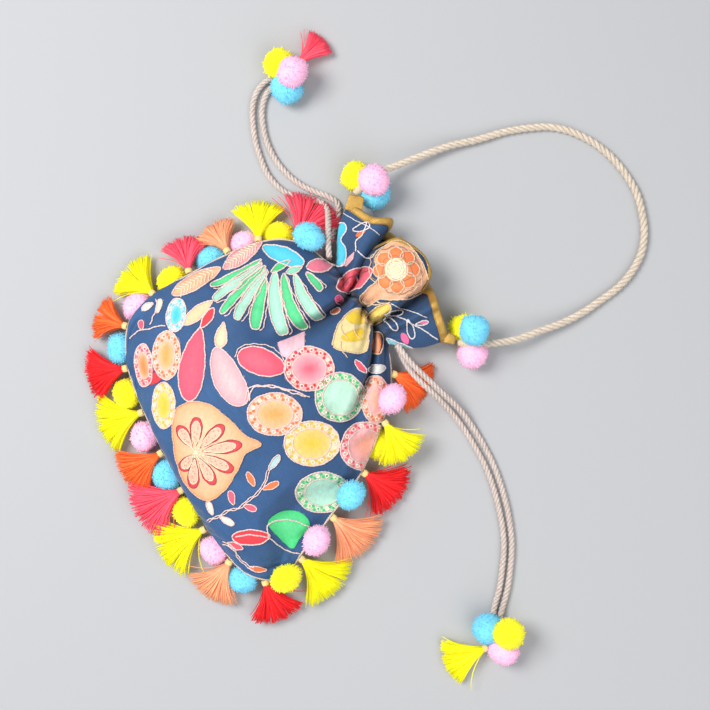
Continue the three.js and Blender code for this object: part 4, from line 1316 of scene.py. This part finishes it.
def pompom(name, colour):
    low, high = node_box(name)
    centre, radius = (low + high) / 2, (high - low).min() / 2
    stretch = np.eye(3)
    if not name.startswith("pompom"):
        # The three in a cluster are tied tight, and press into each other.
        radius *= CLUSTER_POM_SIZE
        group = [node_box(other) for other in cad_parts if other.startswith(name.rsplit("_", 1)[0])]
        centre = centre + 0.24 * (np.mean([(a + b) / 2 for a, b in group], axis=0) - centre)
        centre[2] = max(centre[2], 0.98 * radius)
    else:
        # Those in the seam are pressed a little longer along it.
        radius *= POM_SIZE
        seam = seam_line.transpose(1, 0, 2)
        which, at = np.unravel_index(np.linalg.norm(seam - centre, axis=2).argmin(), seam.shape[:2])
        at = min(max(at, 1), seam.shape[1] - 2)
        way = unit(seam[which, at + 1] - seam[which, at - 1])
        stretch = np.eye(3) * 0.94 + np.outer(way, way) * 0.18
    k = np.arange(FIBRES) + 0.5
    tilt, turn = np.arccos(1 - 2 * k / FIBRES), math.pi * (1 + math.sqrt(5)) * k
    ways = np.column_stack([np.cos(turn) * np.sin(tilt), np.sin(turn) * np.sin(tilt), np.cos(tilt)])
    ways = unit(ways + 0.07 * rng.normal(size=ways.shape))
    squash = np.array([1, 1, 0.94]) * rng.uniform(0.96, 1.02, 3)
    everyone = np.vstack([ball_verts, ways])
    lumps = uneven(everyone)
    core_r, fibre_r = np.split(radius * lumps, [len(ball_verts)])
    dye = np.array(YARN[colour])
    heap = Heap()
    core = centre + (ball_verts * (core_r * 0.97)[:, None] * squash) @ stretch
    heap.add(keep_above_floor(core), np.zeros((0, 4), int), ball_tris, dye)
    reach = np.array([[0.9, 1.0]]) * (1 + rng.uniform(-0.012, 0.022, (FIBRES, 1)) * np.array([0, 1]))
    lean = 0.05 * rng.normal(size=(FIBRES, 1, 3)) * np.array([0, 1])[None, :, None]
    paths = centre + ((ways[:, None] * reach[..., None] + lean) * fibre_r[:, None, None] * squash) @ stretch
    verts, quads, tris = threads(paths, np.array([0.45, 0.24]) * MM)
    # Random tone per fibre, with painted shade towards the roots inside the ball and painted light at the
    # tips.
    shade = rng.uniform(0.88, 1.12, (FIBRES, 1, 1)) * np.array([0.9, 1.05])[None, :, None]
    heap.add(keep_above_floor(verts), quads, tris, dye * np.repeat(shade, 3, axis=2).reshape(-1, 1))
    piece = heap.build(f"yarn_{name}", pom_mat)
    declare(piece, f"{colour}_yarn", name)
    return piece


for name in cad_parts:
    if "pompom" in name:
        pompom(name, name.rsplit("_", 1)[1])

# ---- Tassels ------------------------------------------------------------------------------------

# The tassels of the drawstrings: colour, and how far they fan out, in radians.
CORD_TASSELS = {"drawstring_left_tassel": ("coral", 0.42), "drawstring_right_tassel": ("yellow", 0.54)}
CORD_TASSEL_REACH, TIE = 1.12, 6 * MM  # their heads are tied in under the pompoms
LONG_TASSEL, LONG_REACH = "tassel_01_coral", 1.6  # the seam's first tassel is cut the longest
TASSEL_THREADS, TASSEL_STEPS, HEAD_LENGTH = 350, 6, 4.2 * MM
CLUMPS = 13
TASSEL_REACH, TASSEL_FAN = 1.22, 0.62  # how far the skirt spreads: a share of the length, radians


def tassel_line(name):
    """Where a tassel starts, its way and its length. Its solid crowds its points at the knot."""
    points = np.unique(np.round(coordinates(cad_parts[name].data), 5), axis=0)
    near = np.linalg.norm(points[:, None] - points[None], axis=2) < 4 * MM
    knot = points[near[near.sum(1).argmax()]].mean(0)
    axis = unit(points.mean(0) - knot)
    along = (points - knot) @ axis
    return knot + axis * along.min(), axis, along.max() - along.min()


def tassel(name, colour, fan=TASSEL_FAN):
    start, axis, length = tassel_line(name)
    skirt = length * (LONG_REACH if name == LONG_TASSEL else TASSEL_REACH)
    if name in CORD_TASSELS:
        start = start - axis * TIE
        skirt = length * CORD_TASSEL_REACH
    side_way = unit(np.cross((0, 0, 1.0), axis))
    up = np.cross(axis, side_way)
    dye = np.array(YARN[colour])
    heap = Heap()
    # The wound head, a small core under its turns of metallic thread. The core is painted darker, as the
    # shade between the turns.
    coil, line, core_r = wound(start, axis * HEAD_LENGTH, side_way, up, 80, 6, 0.5)
    gold = srgb(232, 206, 140)
    verts, quads, tris = tube(coil, 0.42 * MM, 5)
    heap.add(keep_above_floor(verts), quads, tris, gold)
    verts, quads, tris = tube(line[::8], core_r[::8], 8)
    heap.add(keep_above_floor(verts), quads, tris, np.array(gold) * 0.6)
    # The skirt: clumps of thread that fan out and lie down.
    clump_at = np.linspace(-1, 1, CLUMPS) + 0.06 * rng.normal(size=CLUMPS)
    clump_shade = rng.uniform(0.84, 1.1, CLUMPS)
    mine = rng.integers(0, CLUMPS, TASSEL_THREADS)
    spread = clump_at[mine] + 0.1 * rng.normal(size=TASSEL_THREADS)
    stray = rng.random(TASSEL_THREADS) < 0.04
    angle = (fan * spread + stray * 0.24 * rng.normal(size=TASSEL_THREADS))[:, None]
    t = np.linspace(0, 1, TASSEL_STEPS)[None]
    reach = (skirt - HEAD_LENGTH * 0.8) * rng.uniform(0.88, 1.02, (TASSEL_THREADS, 1))
    opening = 0.45 + 0.55 * t ** 0.7
    height = rng.normal(size=(TASSEL_THREADS, 1))
    phase = rng.uniform(0, 6.28, (TASSEL_THREADS, 1))
    sway = 0.35 * MM * np.sin(9 * t + phase) * t
    forward = reach * t * np.cos(angle * opening)
    sideways = reach * t * np.sin(angle * opening) + spread[:, None] * 1.3 * MM * (1 - t) + sway
    thick = np.clip(height, -1.6, 1.6) * (0.9 + 1.5 * np.sin(math.pi * np.clip(t * 0.8 + 0.1, 0, 1))) * MM
    lift = thick - 0.6 * MM * t
    base = start + axis * HEAD_LENGTH * 0.8
    paths = base + (axis * forward[..., None] + side_way * sideways[..., None] + up * lift[..., None])
    size = np.array([0.32, 0.36, 0.37, 0.36, 0.34, 0.24]) * MM
    verts, quads, tris = threads(paths, size)
    # Random tone per clump and thread, painted light on the threads that lie higher, and painted shade
    # towards the head.
    tone = clump_shade[mine] * rng.uniform(0.9, 1.08, TASSEL_THREADS) * (1 + 0.05 * height[:, 0])
    shade = tone[:, None, None] * np.linspace(0.9, 1.05, TASSEL_STEPS)[None, :, None]
    heap.add(keep_above_floor(verts), quads, tris, dye * np.repeat(shade, 3, axis=2).reshape(-1, 1))
    piece = heap.build(f"threads_{name}", tassel_mat)
    declare(piece, f"{colour}_yarn", name)
    return piece


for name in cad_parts:
    if "tassel" in name:
        tassel(name, *CORD_TASSELS.get(name, (name.rsplit("_", 1)[1],)))

# ---- Finish ------------------------------------------------------------------------------------


declare(pouch, "print_cloth", "pouch_body")
declare(handle, "cream_rope", "rope_handle")
for (side_name, where), (piece, path) in strings.items():
    declare(piece, "blush_cord", f"drawstring_{side_name}")
